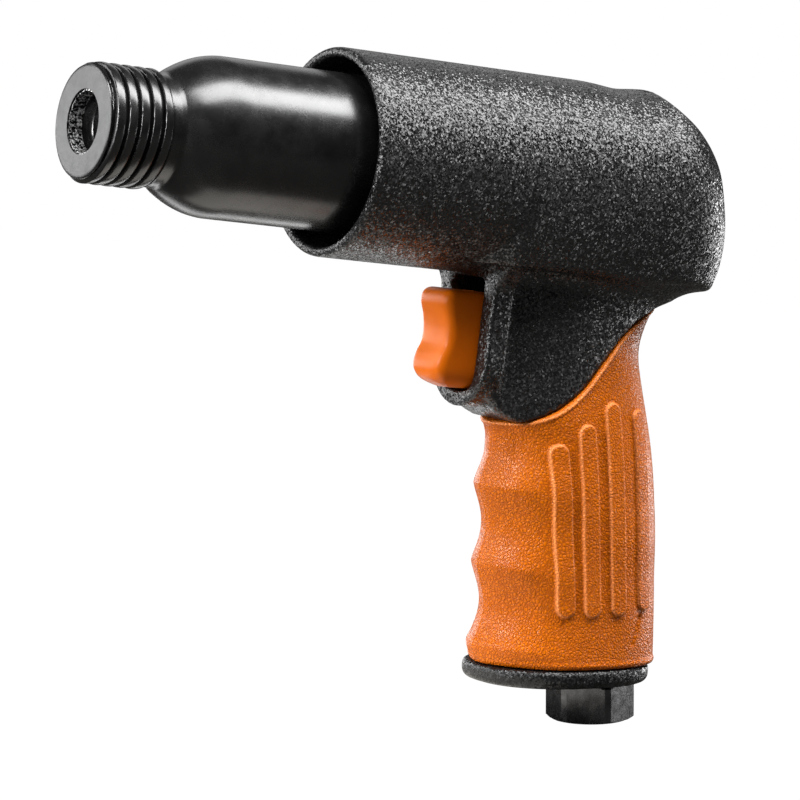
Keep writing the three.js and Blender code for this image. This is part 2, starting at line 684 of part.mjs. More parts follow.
function throttleSpring() {
  const wire = new THREE.Shape();
  const sides = 5;
  for (let i = 0; i < sides; i += 1) {
    const turn = (i / sides) * 2 * Math.PI;
    const corner = [SPRING_WIRE * Math.cos(turn), SPRING_WIRE * Math.sin(turn)];
    if (i === 0) wire.moveTo(...corner);
    else wire.lineTo(...corner);
  }
  const steps = SPRING_COILS * 9;
  return new THREE.ExtrudeGeometry(wire, { steps, extrudePath: new Coil(), bevelEnabled: false });
}

// ---- Assembly ----
const pieces = [
  ['housing', housing, castingPaint],
  ['grip_sleeve', gripSleeve, orangeRubber],
  ['base_plate', basePlate, castingPaint],
  ['inlet_bushing', inletBushing, darkSteel],
  ['inlet_screen', inletScreen, brass],
  ['inlet_gasket', inletGasket, blackRubber],
  ['barrel', barrel, blackSteel],
  ['barrel_seal', barrelSeal, blackRubber],
  ['piston', piston, brightSteel],
  ['valve_body', valveBody, brightSteel],
  ['shuttle_valve', shuttleValve, brightSteel],
  ['valve_cap', valveCap, brightSteel],
  ['valve_pin', valvePin, brightSteel],
  ['valve_spacer', valveSpacer, brightSteel],
  ['valve_cushion', valveCushion, blackRubber],
  ['trigger', trigger, orangePlastic],
  ['trigger_stem', triggerStem, brightSteel],
  ['throttle_bushing', throttleBushing, brass],
  ['throttle_seal', throttleSeal, blackRubber],
  ['throttle_valve', throttleValve, brass],
  ['throttle_washer', throttleWasher, blackRubber],
  ['throttle_spring', throttleSpring, brightSteel],
];

const hammer = new THREE.Group();
for (const [name, make, coat] of pieces) {
  const mesh = new THREE.Mesh(geometryOf(solid(make())), coat());
  mesh.name = name;
  hammer.add(mesh);
}

// The part's own origin is below the middle of the tool, level with the foot of the air inlet.
const extent = new THREE.Box3().setFromObject(hammer, true);
hammer.position.set(-(extent.min.x + extent.max.x) / 2, 0, -extent.min.z);

export default hammer;
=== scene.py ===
"""The looks of a pneumatic air hammer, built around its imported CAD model.

Shapes are designed in millimetres in the tool's own frame: x along the barrel to the muzzle, y to the
user's left, z up, from the centre of the muzzle's face. They are placed in metres as they are made.
"""

import math

import bpy
import numpy as np
from mathutils import Matrix, Vector


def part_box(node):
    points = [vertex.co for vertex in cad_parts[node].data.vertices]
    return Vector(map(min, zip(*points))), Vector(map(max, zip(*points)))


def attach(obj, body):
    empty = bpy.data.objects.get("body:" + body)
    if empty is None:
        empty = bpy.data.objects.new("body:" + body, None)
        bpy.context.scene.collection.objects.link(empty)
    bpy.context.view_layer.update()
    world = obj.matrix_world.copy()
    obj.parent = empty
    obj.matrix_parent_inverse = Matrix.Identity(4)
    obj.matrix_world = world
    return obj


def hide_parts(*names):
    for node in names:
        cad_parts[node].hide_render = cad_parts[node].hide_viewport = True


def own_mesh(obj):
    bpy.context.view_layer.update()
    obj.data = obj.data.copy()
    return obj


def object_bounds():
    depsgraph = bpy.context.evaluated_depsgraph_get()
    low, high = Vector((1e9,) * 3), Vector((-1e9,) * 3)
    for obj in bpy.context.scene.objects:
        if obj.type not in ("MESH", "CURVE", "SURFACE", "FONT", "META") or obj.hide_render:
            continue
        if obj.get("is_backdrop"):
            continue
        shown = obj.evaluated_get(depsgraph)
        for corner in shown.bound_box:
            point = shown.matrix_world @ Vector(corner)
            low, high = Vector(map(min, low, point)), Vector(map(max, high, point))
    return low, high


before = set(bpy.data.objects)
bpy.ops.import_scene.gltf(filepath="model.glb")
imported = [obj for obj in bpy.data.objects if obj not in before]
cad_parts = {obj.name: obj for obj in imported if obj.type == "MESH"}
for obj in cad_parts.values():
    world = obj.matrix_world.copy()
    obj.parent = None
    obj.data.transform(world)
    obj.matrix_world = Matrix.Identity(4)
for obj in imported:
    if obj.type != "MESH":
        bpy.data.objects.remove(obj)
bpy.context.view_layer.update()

MM = 0.001

barrel_low, barrel_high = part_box("barrel")
MUZZLE = np.array([barrel_high.x, 0.0, (barrel_low.z + barrel_high.z) / 2])


def corners_mm(node):
    """A CAD node's lowest and highest corners in the tool's frame."""
    low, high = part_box(node)
    return (np.array(low) - MUZZLE) / MM, (np.array(high) - MUZZLE) / MM


# ---- Driving dimensions, in millimetres ----
GAP = 0.3

HEAD_RADIUS = corners_mm("housing")[1][1]
HEAD_FRONT_X = corners_mm("housing")[1][0]
SHROUD_WALL = 2.4
SHROUD_FLOOR_X = -96.0
BARREL_RADIUS = corners_mm("barrel")[1][1]
BARREL_REAR_X = corners_mm("barrel")[0][0]
BORE_END_X = -134.0
TAIL_START_X = -157.0

INLET_BOTTOM = np.array([-165.2, 0.0, -134.8])
HANDLE_RAKE = math.radians(8.3)
PLATE_TILT = math.radians(4.2)
PLATE_CENTRE = np.array([-152.4, 0.0, -120.6])
PLATE_HALF_LENGTH = 24.6
PLATE_HALF_WIDTH = 18.6
PLATE_THICKNESS = 4.6
SLEEVE_WALL = 3.5
OVAL_POWER = 2.3

RIDGE_Z = -77.5
RIDGE_PITCH = 19.8
RIDGE_X = -123.9
RIDGE_SLOPE = 0.111
GROOVE_DEPTH = 2.5

TRIGGER_HALF_WIDTH = 6.6
TRIGGER_TOP_Z = -29.7
TRIGGER_BOTTOM_Z = -53.9
TRIGGER_REAR_X = -117.2
POCKET_HALF_WIDTH = 7.2
POCKET_TOP_Z = -25.9
POCKET_BOTTOM_Z = -54.5
POCKET_FLOOR_X = -123.6
RIM_X = -112.4
RIM_DEPTH = 6.0
RIM_HALF_WIDTH = 11.8
RIM_CENTRE_Z = -46.2
THROTTLE_Z = -41.8
THROTTLE_BORE_RADIUS = 8.0
THROTTLE_BORE_END_X = -157.0
STEM_RADIUS = 2.4
STEM_FRONT_X = -110.0

THREAD_RADIUS = 14.3
THREAD_ROOT_RADIUS = 12.9
THREAD_PITCH = 3.175
THREAD_END_X = -16.2
NECK_RADIUS = 13.5
NECK_END_X = -19.8
SHOULDER_END_X = -35.0
FACE_RADIUS = 13.1
MOUTH_RADIUS = 7.7
MOUTH_DEPTH = 5.0
# How far into the bore's mouth its painted glints reach; further in, the bore keeps the dark oxide.
PAINTED_GLINT_DEPTH = 3.9
SEAL_GROOVE = (-103.6, -106.4)
SEAL_GROOVE_RADIUS = 17.0
SHANK_BORE_RADIUS = 5.2
PISTON_BORE_RADIUS = 9.6
PISTON_BORE_START_X = -38.0

HEX_FLAT_RADIUS = 10.15
HEX_CORNER_RADIUS = 11.25
HEX_TURN = math.radians(49)
HEX_CORNER = math.radians(60)
HEX_LENGTH = 9.4
BUSHING_LENGTH = 30.0
BUSHING_SHANK_RADIUS = 8.6
INLET_BORE_RADIUS = 5.7
PIPE_THREAD_TOP = 13.4
PIPE_THREAD_PITCH = 1.5
PIPE_THREAD_TURNS = 8
AIRWAY_RADIUS = 4.4
SCREEN_POCKET_RADIUS = 7.0
SCREEN_POCKET_FLOOR = 24.0

SPRING_ENDS = (-156.3, -144.8)
SPRING_RADIUS = 4.5
SPRING_WIRE = 0.4
SPRING_COILS = 5

HOUSING_STEP = 0.7
SLEEVE_STEP = 0.41
PLATE_STEP = 0.6
TRIGGER_STEP = 0.36


# ---- Smooth solid fields: negative inside, in millimetres ----
def smooth_max(a, b, k):
    h = np.maximum(k - np.abs(a - b), 0) / k
    return np.maximum(a, b) + h * h * k / 4


def smooth_min(a, b, k):
    return -smooth_max(-a, -b, k)


def smoothstep(value, low, high):
    t = np.clip((value - low) / (high - low), 0, 1)
    return t * t * (3 - 2 * t)


def through(stations, at):
    """A smooth value through (position, value) stations."""
    places, values = np.array(sorted(stations), float).T
    slopes = np.gradient(values, places)
    i = np.clip(np.searchsorted(places, at) - 1, 0, len(places) - 2)
    span = places[i + 1] - places[i]
    t = np.clip((at - places[i]) / span, 0, 1)
    rise = values[i + 1] - values[i]
    ease = t * t * (3 - 2 * t)
    return values[i] + rise * ease + span * t * (1 - t) * (slopes[i] * (1 - t) - slopes[i + 1] * t)


def oval(x, y, front, rear, half):
    """Distance to an oval outline that runs from rear to front in x and has a half width in y."""
    p = OVAL_POWER
    reach = (front - rear) / 2
    u = np.abs(x - (front + rear) / 2) / reach
    v = np.abs(y) / half
    g = np.maximum((u**p + v**p) ** (1 / p), 0.05)
    slope = g ** (1 - p)
    rate = np.hypot(slope * u ** (p - 1) / reach, slope * v ** (p - 1) / half)
    return (g - 1) / np.maximum(rate, 1e-3)


def rod_x(x, y, z, x0, x1, radius, z0=0.0):
    """Distance to a round rod along x."""
    return np.maximum(np.hypot(y, z - z0) - radius, np.maximum(x0 - x, x - x1))


def along_inlet(x, y, z):
    """Height up the inlet's raked axis and distance from it."""
    dx, dz = x - INLET_BOTTOM[0], z - INLET_BOTTOM[2]
    up = dx * math.sin(HANDLE_RAKE) + dz * math.cos(HANDLE_RAKE)
    side = dx * math.cos(HANDLE_RAKE) - dz * math.sin(HANDLE_RAKE)
    return up, np.hypot(side, y)


def above_plate(x, z):
    """Height above the plane of the base plate's top."""
    return (x - PLATE_CENTRE[0]) * math.sin(PLATE_TILT) + (z - PLATE_CENTRE[2]) * math.cos(PLATE_TILT)


# ---- Handle ----
REAR_LINE = [(-24, -168), (-29, -166), (-34, -164.2), (-40, -163.2), (-49, -164.6), (-60, -168),
             (-78, -172.3), (-97, -175.1), (-110, -176.6), (-124, -178.4)]
WIDTH_LINE = [(-24, 15.5), (-34, 14), (-45, 14), (-60, 15.6), (-78, 16.8), (-97, 17), (-124, 18)]
SLEEVE_EDGE = [(-108, -61.4), (-114, -61.7), (-120, -61.6), (-127, -60.4), (-132, -58.2), (-137, -54.7),
               (-141.8, -49.9), (-146.3, -44), (-151, -38), (-157, -32.4), (-164, -28.8), (-172, -27),
               (-195, -27)]


def grip_front(z):
    turns = (z - RIDGE_Z) / RIDGE_PITCH
    groove = GROOVE_DEPTH * np.abs(np.sin(math.pi * turns)) ** 1.4
    tuck = 2 * smoothstep(z, -68, -60)
    return RIDGE_X + RIDGE_SLOPE * (z - RIDGE_Z) - groove - tuck


def handle_core(x, y, z, inset):
    front = RIDGE_X + RIDGE_SLOPE * (z - RIDGE_Z) - GROOVE_DEPTH - inset
    return oval(x, y, front, through(REAR_LINE, z) + inset, through(WIDTH_LINE, z) - inset)


def above_sleeve(x, z):
    """Distance above the sleeve's sweeping top edge."""
    step = 0.5
    slope = (through(SLEEVE_EDGE, x + step) - through(SLEEVE_EDGE, x - step)) / (2 * step)
    return (z - through(SLEEVE_EDGE, x)) / np.sqrt(1 + slope**2)


# ---- Housing ----
TAIL_REACH = [(26, 0.5), (25.3, 0.6), (24.4, 1.4), (21.8, 5.2), (17.5, 11.5), (14.1, 14.8), (8.8, 18.5),
              (0, 21.8), (-8, 24.3), (-12.6, 25.1), (-18, 25.3), (-22, 24.8), (-30, 24.2)]
SKIRT_HALF = [(6, 25.4), (0, 25.4), (-6, 24.9), (-12, 23.5), (-18, 21.3), (-22, 19.4), (-30, 17)]
SKIRT_EDGE_Z = -22.3
KEEL_HALF = 17.0
TAIL_LOW_HALF = 8.0
TAIL_HIGH_HALF = 4.0
KEEL_LINE = [(-188.5, -19.6), (-186, -20.8), (-184, -22), (-178.8, -23.6), (-172.7, -25.4), (-168, -27.6),
             (-164.5, -29), (-158.5, -29.4)]


def slant(stations, at):
    """The slope of the smooth line through stations."""
    step = 0.25
    return (through(stations, at + step) - through(stations, at - step)) / (2 * step)


def oval_tail(x, y, z, reach_line, half, half_slope):
    """Distance to level ovals that reach behind the tail's start."""
    p = OVAL_POWER
    reach = through(reach_line, z)
    u, v = np.maximum(TAIL_START_X - x, 0) / reach, np.abs(y) / half
    g = np.maximum((u**p + v**p) ** (1 / p), 0.05)
    slope = g ** (1 - p)
    rate_x = slope * u ** (p - 1) / reach
    rate_y = slope * v ** (p - 1) / half
    rate_z = slope * (v**p * half_slope / half + u**p * slant(reach_line, z) / reach)
    return (g - 1) / np.maximum(np.sqrt(rate_x**2 + rate_y**2 + rate_z**2), 1e-3)


DOME_CREASE = [(-154.5, 3.0, 25.0), (-157.5, 6.5, 23.5), (-159.5, 9.5, 21.5), (-160.5, 12.0, 19.0)]
CREASE_DEPTH = 0.4
CREASE_WIDTH = 0.55
SADDLE_X = -148.0
SADDLE_DEPTH = 0.8
SADDLE_LENGTH = 6.5


def from_path(x, y, z, path):
    """Distance from a path of straight stretches."""
    nearest = None
    for start, end in zip(path, path[1:]):
        start, along = np.array(start), np.subtract(end, start)
        off = [axis - at for axis, at in zip((x, y, z), start)]
        share = np.clip(sum(o * a for o, a in zip(off, along)) / (along**2).sum(), 0, 1)
        distance = np.sqrt(sum((o - share * a) ** 2 for o, a in zip(off, along)))
        nearest = distance if nearest is None else np.minimum(nearest, distance)
    return nearest


def head_field(x, y, z):
    """The round head, with a shallow saddle across it. Its tail's level sections are ovals."""
    radius = np.hypot(y, z)
    saddle = SADDLE_DEPTH * np.exp(-(((x - SADDLE_X) / SADDLE_LENGTH) ** 2)) * smoothstep(z, 10, 22)
    crease = CREASE_DEPTH * np.exp(-((from_path(x, y, z, DOME_CREASE) / CREASE_WIDTH) ** 2))
    least = np.where(z < 0, TAIL_LOW_HALF, TAIL_HIGH_HALF)
    half = np.sqrt(np.maximum(HEAD_RADIUS**2 - z**2, least**2))
    tail = oval_tail(x, y, z, TAIL_REACH, half, np.where(half > least, -z / half, 0.0))
    tail = smooth_max(tail, z - HEAD_RADIUS, 0.4)
    tail = smooth_max(tail, (through(KEEL_LINE, x) - z) * 0.95, 1.6)
    return np.where(x < TAIL_START_X, tail, radius - HEAD_RADIUS) + saddle + crease


def skirt_field(x, y, z):
    """The casting's straight lower sides, from the head's widest line to a crisp edge above the hand."""
    half = through(SKIRT_HALF, z) - 7 * smoothstep(x, -114, -102)
    side = oval_tail(x, y, z, TAIL_REACH, half, slant(SKIRT_HALF, z))
    keel = through(KEEL_LINE, x)
    hollow = np.maximum(1 - (y / KEEL_HALF) ** 2, 0) * smoothstep(-x, 146, 168)
    under = SKIRT_EDGE_Z + np.minimum(keel - SKIRT_EDGE_Z, 1.2) * hollow
    body = smooth_max(side, (under - z) * 0.95, 1.6)
    return np.maximum(np.maximum(body, z), x + 100)


def shroud_field(x, y, z):
    outer = smooth_max(head_field(x, y, z), x - HEAD_FRONT_X - 0.7, 1.6)
    radius = np.hypot(y, z)
    inside = np.maximum(radius - (HEAD_RADIUS - SHROUD_WALL), SHROUD_FLOOR_X - x)
    return smooth_max(outer, -inside, 1.4)


def rim_field(x, y, z):
    """The raised lip round the trigger, which flares where it meets the head."""
    flare = 4.5 * smoothstep(z, -32, -22) ** 2
    stem = np.abs(y) - RIM_HALF_WIDTH - 0.3 - flare
    foot = np.hypot(y, z - RIM_CENTRE_Z) - RIM_HALF_WIDTH - 0.3
    outline = np.where(z > RIM_CENTRE_Z, stem, foot)
    depth = np.abs(x - (RIM_X + 0.5 - RIM_DEPTH / 2)) - RIM_DEPTH / 2
    return np.maximum(smooth_max(outline, depth, 0.9), z + 16)


WEB_FRONT = [(-14, -114), (-50, -114.5), (-56, -116.5), (-58, -118.5), (-59.2, -120.6), (-60.5, -124),
             (-62, -127), (-66, -131)]
WEB_HALF = [(-112, 9.4), (-119, 9.6), (-124, 10.6), (-132, 12), (-139, 12.2), (-146, 11.2)]


def web_field(x, y, z):
    """The recessed block that joins the rim to the handle."""
    profile = np.maximum(x - through(WEB_FRONT, z), WEB_HALF[-1][0] - x)
    profile = np.maximum(profile, z + 12)
    return smooth_max(profile, np.abs(y) - through(WEB_HALF, x), 2.5)


def pocket_field(x, y, z):
    outline = smooth_max(np.abs(y) - POCKET_HALF_WIDTH, POCKET_BOTTOM_Z - z, 6)
    outline = smooth_max(outline, z - POCKET_TOP_Z, 2)
    return np.maximum(outline, POCKET_FLOOR_X - x)


def housing_field(x, y, z):
    front = grip_front(np.minimum(z, -62.0))
    neck = oval(x, y, front, through(REAR_LINE, z), through(WIDTH_LINE, z) - 0.4)
    neck = np.maximum(neck, z + 16)
    lower = smooth_min(neck, web_field(x, y, z), 3)
    head = np.minimum(shroud_field(x, y, z), skirt_field(x, y, z))
    fillet = 5 + 2 * smoothstep(-x, 132, 156)
    body = smooth_min(head, np.maximum(lower, x - HEAD_FRONT_X + 30), fillet)
    body = smooth_min(body, rim_field(x, y, z), 1.6)
    bore = np.maximum(np.hypot(y, z) - (BARREL_RADIUS + GAP), BORE_END_X - x)
    shroud_space = np.maximum(np.hypot(y, z) - (HEAD_RADIUS - SHROUD_WALL), SHROUD_FLOOR_X - x)
    body = np.maximum(body, -shroud_space)
    edge = above_sleeve(x, z)
    upper = smooth_max(body, GAP - edge, 0.6)
    core = np.maximum(handle_core(x, y, z, SLEEVE_WALL), edge - 1)
    core = np.maximum(core, GAP - above_plate(x, z))
    solid = np.minimum(upper, core)
    up, aside = along_inlet(x, y, z)
    holes = [bore, rod_x(x, y, z, THROTTLE_BORE_END_X, RIM_X, THROTTLE_BORE_RADIUS, THROTTLE_Z),
             np.maximum(aside - BUSHING_SHANK_RADIUS - GAP, up - 34)]
    for hole in holes:
        solid = np.maximum(solid, -hole)
    return smooth_max(solid, -pocket_field(x, y, z), 0.7)


# ---- Grip sleeve ----
RIBS = [((-135.5, -67.3), (-142.0, -105.4)), ((-142.4, -61.7), (-149.3, -104.9)),
        ((-149.6, -55.8), (-157.4, -104.0)), ((-159.2, -57.0), (-166.4, -102.5))]
RIB_HALF = 2.35
RIB_RISE = 0.85
SLIT = ((-165.4, -106.5), (-163.4, -113.5))
SLIT_HALF = 0.5
SIDE_DISH = 2.0
# Width of the painted highlight lines along the ribs' edges and the grip's lip.
EDGE_GLINT_WIDTH = 0.22


def from_line(x, z, line):
    """Distance in the side view from a straight line between two points."""
    (x0, z0), (x1, z1) = line
    share = ((x - x0) * (x1 - x0) + (z - z0) * (z1 - z0)) / ((x1 - x0) ** 2 + (z1 - z0) ** 2)
    share = np.clip(share, 0, 1)
    return np.hypot(x - x0 - share * (x1 - x0), z - z0 - share * (z1 - z0))


def sleeve_half(x, z):
    """Half width, dished by the finger grooves on each side as far back as the first rib."""
    groove = np.abs(np.sin(math.pi * (z - RIDGE_Z) / RIDGE_PITCH)) ** 1.2
    (x0, z0), (x1, z1) = RIBS[0]
    ahead = x - (x0 + (z - z0) * (x1 - x0) / (z1 - z0)) - RIB_HALF
    return through(WIDTH_LINE, z) - SIDE_DISH * groove * smoothstep(ahead, 1.5, 10) * smoothstep(-z, 58, 66)


def sleeve_front(z):
    """The grip's front line, with grooves a little shallower than the handle's and a small tip on top."""
    groove = 0.1 * np.abs(np.sin(math.pi * (z - RIDGE_Z) / RIDGE_PITCH)) ** 1.4
    top_groove = 0.45 * np.exp(-(((z + 69) / 4.5) ** 2))
    return grip_front(z) + groove - top_groove + 1.4 * smoothstep(z, -66, -60)


def sleeve_field(x, y, z):
    front_lip = 1.0 * smoothstep(-z, 114.5, 119)
    rear_lip = 0.35 * smoothstep(-z, 117, 121)
    nose = 1.3 * np.maximum(1 - np.abs(y) / 7, 0) - 0.2 - 0.3 * np.exp(-((y / 0.35) ** 2))
    rear = through(REAR_LINE, z) - rear_lip - 0.9 * smoothstep(-z, 38, 54)
    outer = oval(x, y, sleeve_front(z) + front_lip + nose, rear, sleeve_half(x, z))
    on_side = smoothstep(np.abs(y), 4, 8)
    for rib in RIBS:
        outer = outer - RIB_RISE * smoothstep(RIB_HALF - from_line(x, z, rib), -0.25, 0.25) * on_side
    outer = outer + 0.5 * smoothstep(SLIT_HALF - from_line(x, z, SLIT), -0.3, 0.3) * on_side
    edge = above_sleeve(x, z)
    outer = outer - 0.4 * np.exp(-(((edge + 0.75) / 0.45) ** 2))
    foot = above_plate(x, z)
    outer = outer - 0.25 * np.exp(-(((foot - 1.4) / 0.5) ** 2))
    shell = smooth_max(outer, edge, 0.7)
    shell = smooth_max(shell, GAP - foot, 0.7)
    return np.maximum(shell, -handle_core(x, y, z, SLEEVE_WALL - GAP))


# ---- Trigger ----
TRIGGER_FACE = [(-29, -102.6), (-30.7, -101.9), (-32.9, -101.7), (-36.5, -102.8), (-39.7, -103.4),
                (-43.2, -103.3), (-46.3, -102.1), (-48.5, -101.6), (-50.8, -101.9), (-52.5, -103),
                (-53.7, -104.9), (-55, -106.5)]


def trigger_field(x, y, z):
    side = smooth_max(np.abs(y) - TRIGGER_HALF_WIDTH, TRIGGER_BOTTOM_Z - z, 6)
    side = smooth_max(side, z - TRIGGER_TOP_Z, 2.4)
    crown = 0.5 * (y / TRIGGER_HALF_WIDTH) ** 2
    front = (x - through(TRIGGER_FACE, z) + crown) * 0.97
    body = smooth_max(side, front, 2.4)
    body = smooth_max(body, TRIGGER_REAR_X - x, 1.2)
    socket = np.maximum(np.hypot(y, z - THROTTLE_Z) - STEM_RADIUS - GAP, x - STEM_FRONT_X - GAP)
    return np.maximum(body, -socket)


# ---- Base plate ----
def plate_field(x, y, z):
    up = above_plate(x, z)
    along = (x - PLATE_CENTRE[0]) * math.cos(PLATE_TILT) - (z - PLATE_CENTRE[2]) * math.sin(PLATE_TILT)
    outline = oval(along, y, PLATE_HALF_LENGTH, -PLATE_HALF_LENGTH, PLATE_HALF_WIDTH)
    body = smooth_max(outline, up, 1.4)
    body = smooth_max(body, -PLATE_THICKNESS - up, 2.6)
    _, aside = along_inlet(x, y, z)
    return np.maximum(body, BUSHING_SHANK_RADIUS + GAP - aside)


# ---- Turning a field into a mesh ----
def drawn_onto(field, points):
    """Moves points onto the field's surface along its slope, in four rounds."""
    h = 0.04
    for _ in range(4):
        x, y, z = points.T
        value = field(x, y, z)
        rises = [field(x + h, y, z) - field(x - h, y, z), field(x, y + h, z) - field(x, y - h, z),
                 field(x, y, z + h) - field(x, y, z - h)]
        slope = np.stack(rises, 1) / (2 * h)
        steep = np.maximum((slope**2).sum(1), 0.2)
        move = np.clip(value / steep, -0.5, 0.5)
        points = points - move[:, None] * slope
    return points


def crossing_quads(inside, ids, axis):
    """One face for each grid edge along an axis whose two ends are on different sides."""
    u, v = ((1, 2), (2, 0), (0, 1))[axis]
    near = np.take(inside, range(inside.shape[axis] - 1), axis)
    far = np.take(inside, range(1, inside.shape[axis]), axis)
    at = np.argwhere(near != far)
    past_start = (at[:, u] > 0) & (at[:, v] > 0)
    before_end = (at[:, u] < inside.shape[u] - 1) & (at[:, v] < inside.shape[v] - 1)
    at = at[past_start & before_end]

    def cell(du, dv):
        place = at.copy()
        place[:, u] -= du
        place[:, v] -= dv
        return ids[tuple(place.T)]

    quads = np.stack([cell(1, 1), cell(0, 1), cell(0, 0), cell(1, 0)], 1)
    backward = ~near[tuple(at.T)]
    quads[backward] = quads[backward][:, ::-1]
    return quads


def skin(field, low, high, step):
    """A quad mesh of the field's surface: points in millimetres and faces."""
    low, high = np.array(low, float) - 2 * step, np.array(high, float) + 2 * step
    counts = np.ceil((high - low) / step).astype(int) + 1
    x, y, z = (low[i] + step * np.arange(counts[i]) for i in range(3))
    values = field(x[:, None, None], y[None, :, None], z[None, None, :]).astype(np.float32)
    inside = values < 0
    ends = [slice(0, -1), slice(1, None)]
    corners = [(i, j, k) for i in (0, 1) for j in (0, 1) for k in (0, 1)]
    count = sum(inside[ends[i], ends[j], ends[k]].astype(np.int8) for i, j, k in corners)
    active = np.argwhere((count > 0) & (count < 8))
    ids = np.full(count.shape, -1, np.int64)
    ids[tuple(active.T)] = np.arange(len(active))
    total = np.zeros((len(active), 3))
    crossings = np.zeros(len(active))
    for first in corners:
        for axis in range(3):
            if first[axis]:
                continue
            second = tuple(first[n] + (n == axis) for n in range(3))
            a = values[tuple((active + first).T)]
            b = values[tuple((active + second).T)]
            crossed = (a < 0) != (b < 0)
            share = np.where(crossed, a / np.where(crossed, a - b, 1), 0)
            place = active + np.array(first, float)
            place[:, axis] += share
            total += place * crossed[:, None]
            crossings += crossed
    points = low + step * total / crossings[:, None]
    faces = np.concatenate([crossing_quads(inside, ids, axis) for axis in range(3)])
    return drawn_onto(field, points), faces


# ---- Objects ----
def placed(points):
    return MUZZLE + np.asarray(points) * MM


def new_object(name, points, faces, materials):
    mesh = bpy.data.meshes.new(name)
    mesh.from_pydata(placed(points).tolist(), [], [list(map(int, f)) for f in faces])
    mesh.validate()
    for material in materials:
        mesh.materials.append(material)
    mesh.polygons.foreach_set("use_smooth", [True] * len(mesh.polygons))
    mesh.update()
    piece = bpy.data.objects.new(name, mesh)
    bpy.context.scene.collection.objects.link(piece)
    return piece


def stands_for(piece, node, body):
    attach(piece, body)
    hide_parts(node)
    return piece


def turned_grid(path, angles, radius_at, onto):
    """A closed ring-shaped skin: each place on the path is a ring whose radius may vary with the angle."""
    rows, sides = len(path), len(angles)
    points = np.zeros((rows, sides, 3))
    for row, place in enumerate(path):
        along, radius = radius_at(place, angles)
        points[row] = onto(along, radius * np.cos(angles), radius * np.sin(angles))
    at = np.arange(rows * sides).reshape(rows, sides)
    below = np.roll(at, -1, 0)
    quads = np.stack([at, np.roll(at, -1, 1), np.roll(below, -1, 1), below], -1).reshape(-1, 4)
    return points.reshape(-1, 3), quads


# ---- Node materials ----
class Nodes:
    """A material's node tree, with short calls for adding and linking nodes."""

    def __init__(self, name):
        self.material = bpy.data.materials.new(name)
        self.material.use_nodes = True
        self.tree = self.material.node_tree
        self.tree.nodes.clear()
        self.shader = self.add("ShaderNodeBsdfPrincipled")
        output = self.add("ShaderNodeOutputMaterial")
        self.link(self.shader.outputs["BSDF"], output.inputs["Surface"])
        self.place = self.add("ShaderNodeTexCoord").outputs["Object"]

    def add(self, kind, **settings):
        node = self.tree.nodes.new(kind)
        for key, value in settings.items():
            setattr(node, key, value)
        return node

    def link(self, source, target):
        self.tree.links.new(source, target)

    def put(self, node, name, value):
        """Sets or links one of a node's inputs."""
        target = node.inputs[name]
        if isinstance(value, bpy.types.NodeSocket):
            self.link(value, target)
        else:
            target.default_value = value

    def set(self, **sockets):
        for name, value in sockets.items():
            self.put(self.shader, name.replace("_", " "), value)

    def noise(self, size_mm, detail=2.0, rough=0.5, distort=0.0, place=None):
        node = self.add("ShaderNodeTexNoise")
        self.put(node, "Vector", place or self.place)
        self.put(node, "Scale", 1 / (size_mm * MM))
        self.put(node, "Detail", detail)
        self.put(node, "Roughness", rough)
        self.put(node, "Distortion", distort)
        return node.outputs["Fac"]

    def cells(self, size_mm, feature, place):
        """The node that divides space into cells of a size."""
        node = self.add("ShaderNodeTexVoronoi", feature=feature)
        self.put(node, "Vector", place)
        self.put(node, "Scale", 1 / (size_mm * MM))
        return node

    def vector(self, operation, *values):
        node = self.add("ShaderNodeVectorMath", operation=operation)
        for index, value in enumerate(values):
            self.put(node, index, value)
        return node.outputs["Vector"]

    def warped(self, wobble, reach_mm):
        """The place, pushed aside by a wobble."""
        return self.vector("MULTIPLY_ADD", wobble, (reach_mm * MM,) * 3, self.place)

    def ramp(self, value, *stops, kind="LINEAR"):
        """Stops are (position, grey or colour)."""
        node = self.add("ShaderNodeValToRGB")
        node.color_ramp.interpolation = kind
        elements = node.color_ramp.elements
        while len(elements) < len(stops):
            elements.new(0.5)
        for element, (position, colour) in zip(elements, stops):
            element.position = position
            tone = (colour,) * 3 if isinstance(colour, (int, float)) else tuple(colour)
            element.color = tone + (1,)
        self.put(node, "Fac", value)
        return node.outputs["Color"]

    def sum(self, a, b, operation="ADD"):
        node = self.add("ShaderNodeMath", operation=operation)
        self.put(node, 0, a)
        self.put(node, 1, b)
        return node.outputs[0]

    def mix(self, share, a, b):
        node = self.add("ShaderNodeMix", data_type="RGBA")
        self.put(node, 0, share)
        for index, value in ((6, a), (7, b)):
            self.put(node, index, value if isinstance(value, bpy.types.NodeSocket) else tuple(value) + (1,))
        return node.outputs[2]

    def bump(self, height, depth_mm, strength=1.0, over=None):
        node = self.add("ShaderNodeBump")
        self.put(node, "Height", height)
        self.put(node, "Distance", depth_mm * MM)
        self.put(node, "Strength", strength)
        if over is not None:
            self.put(node, "Normal", over)
        return node.outputs["Normal"]


COAT_GRAIN = 0.38
LEATHER_CELL = 0.82
TURNING_PITCH = 0.16


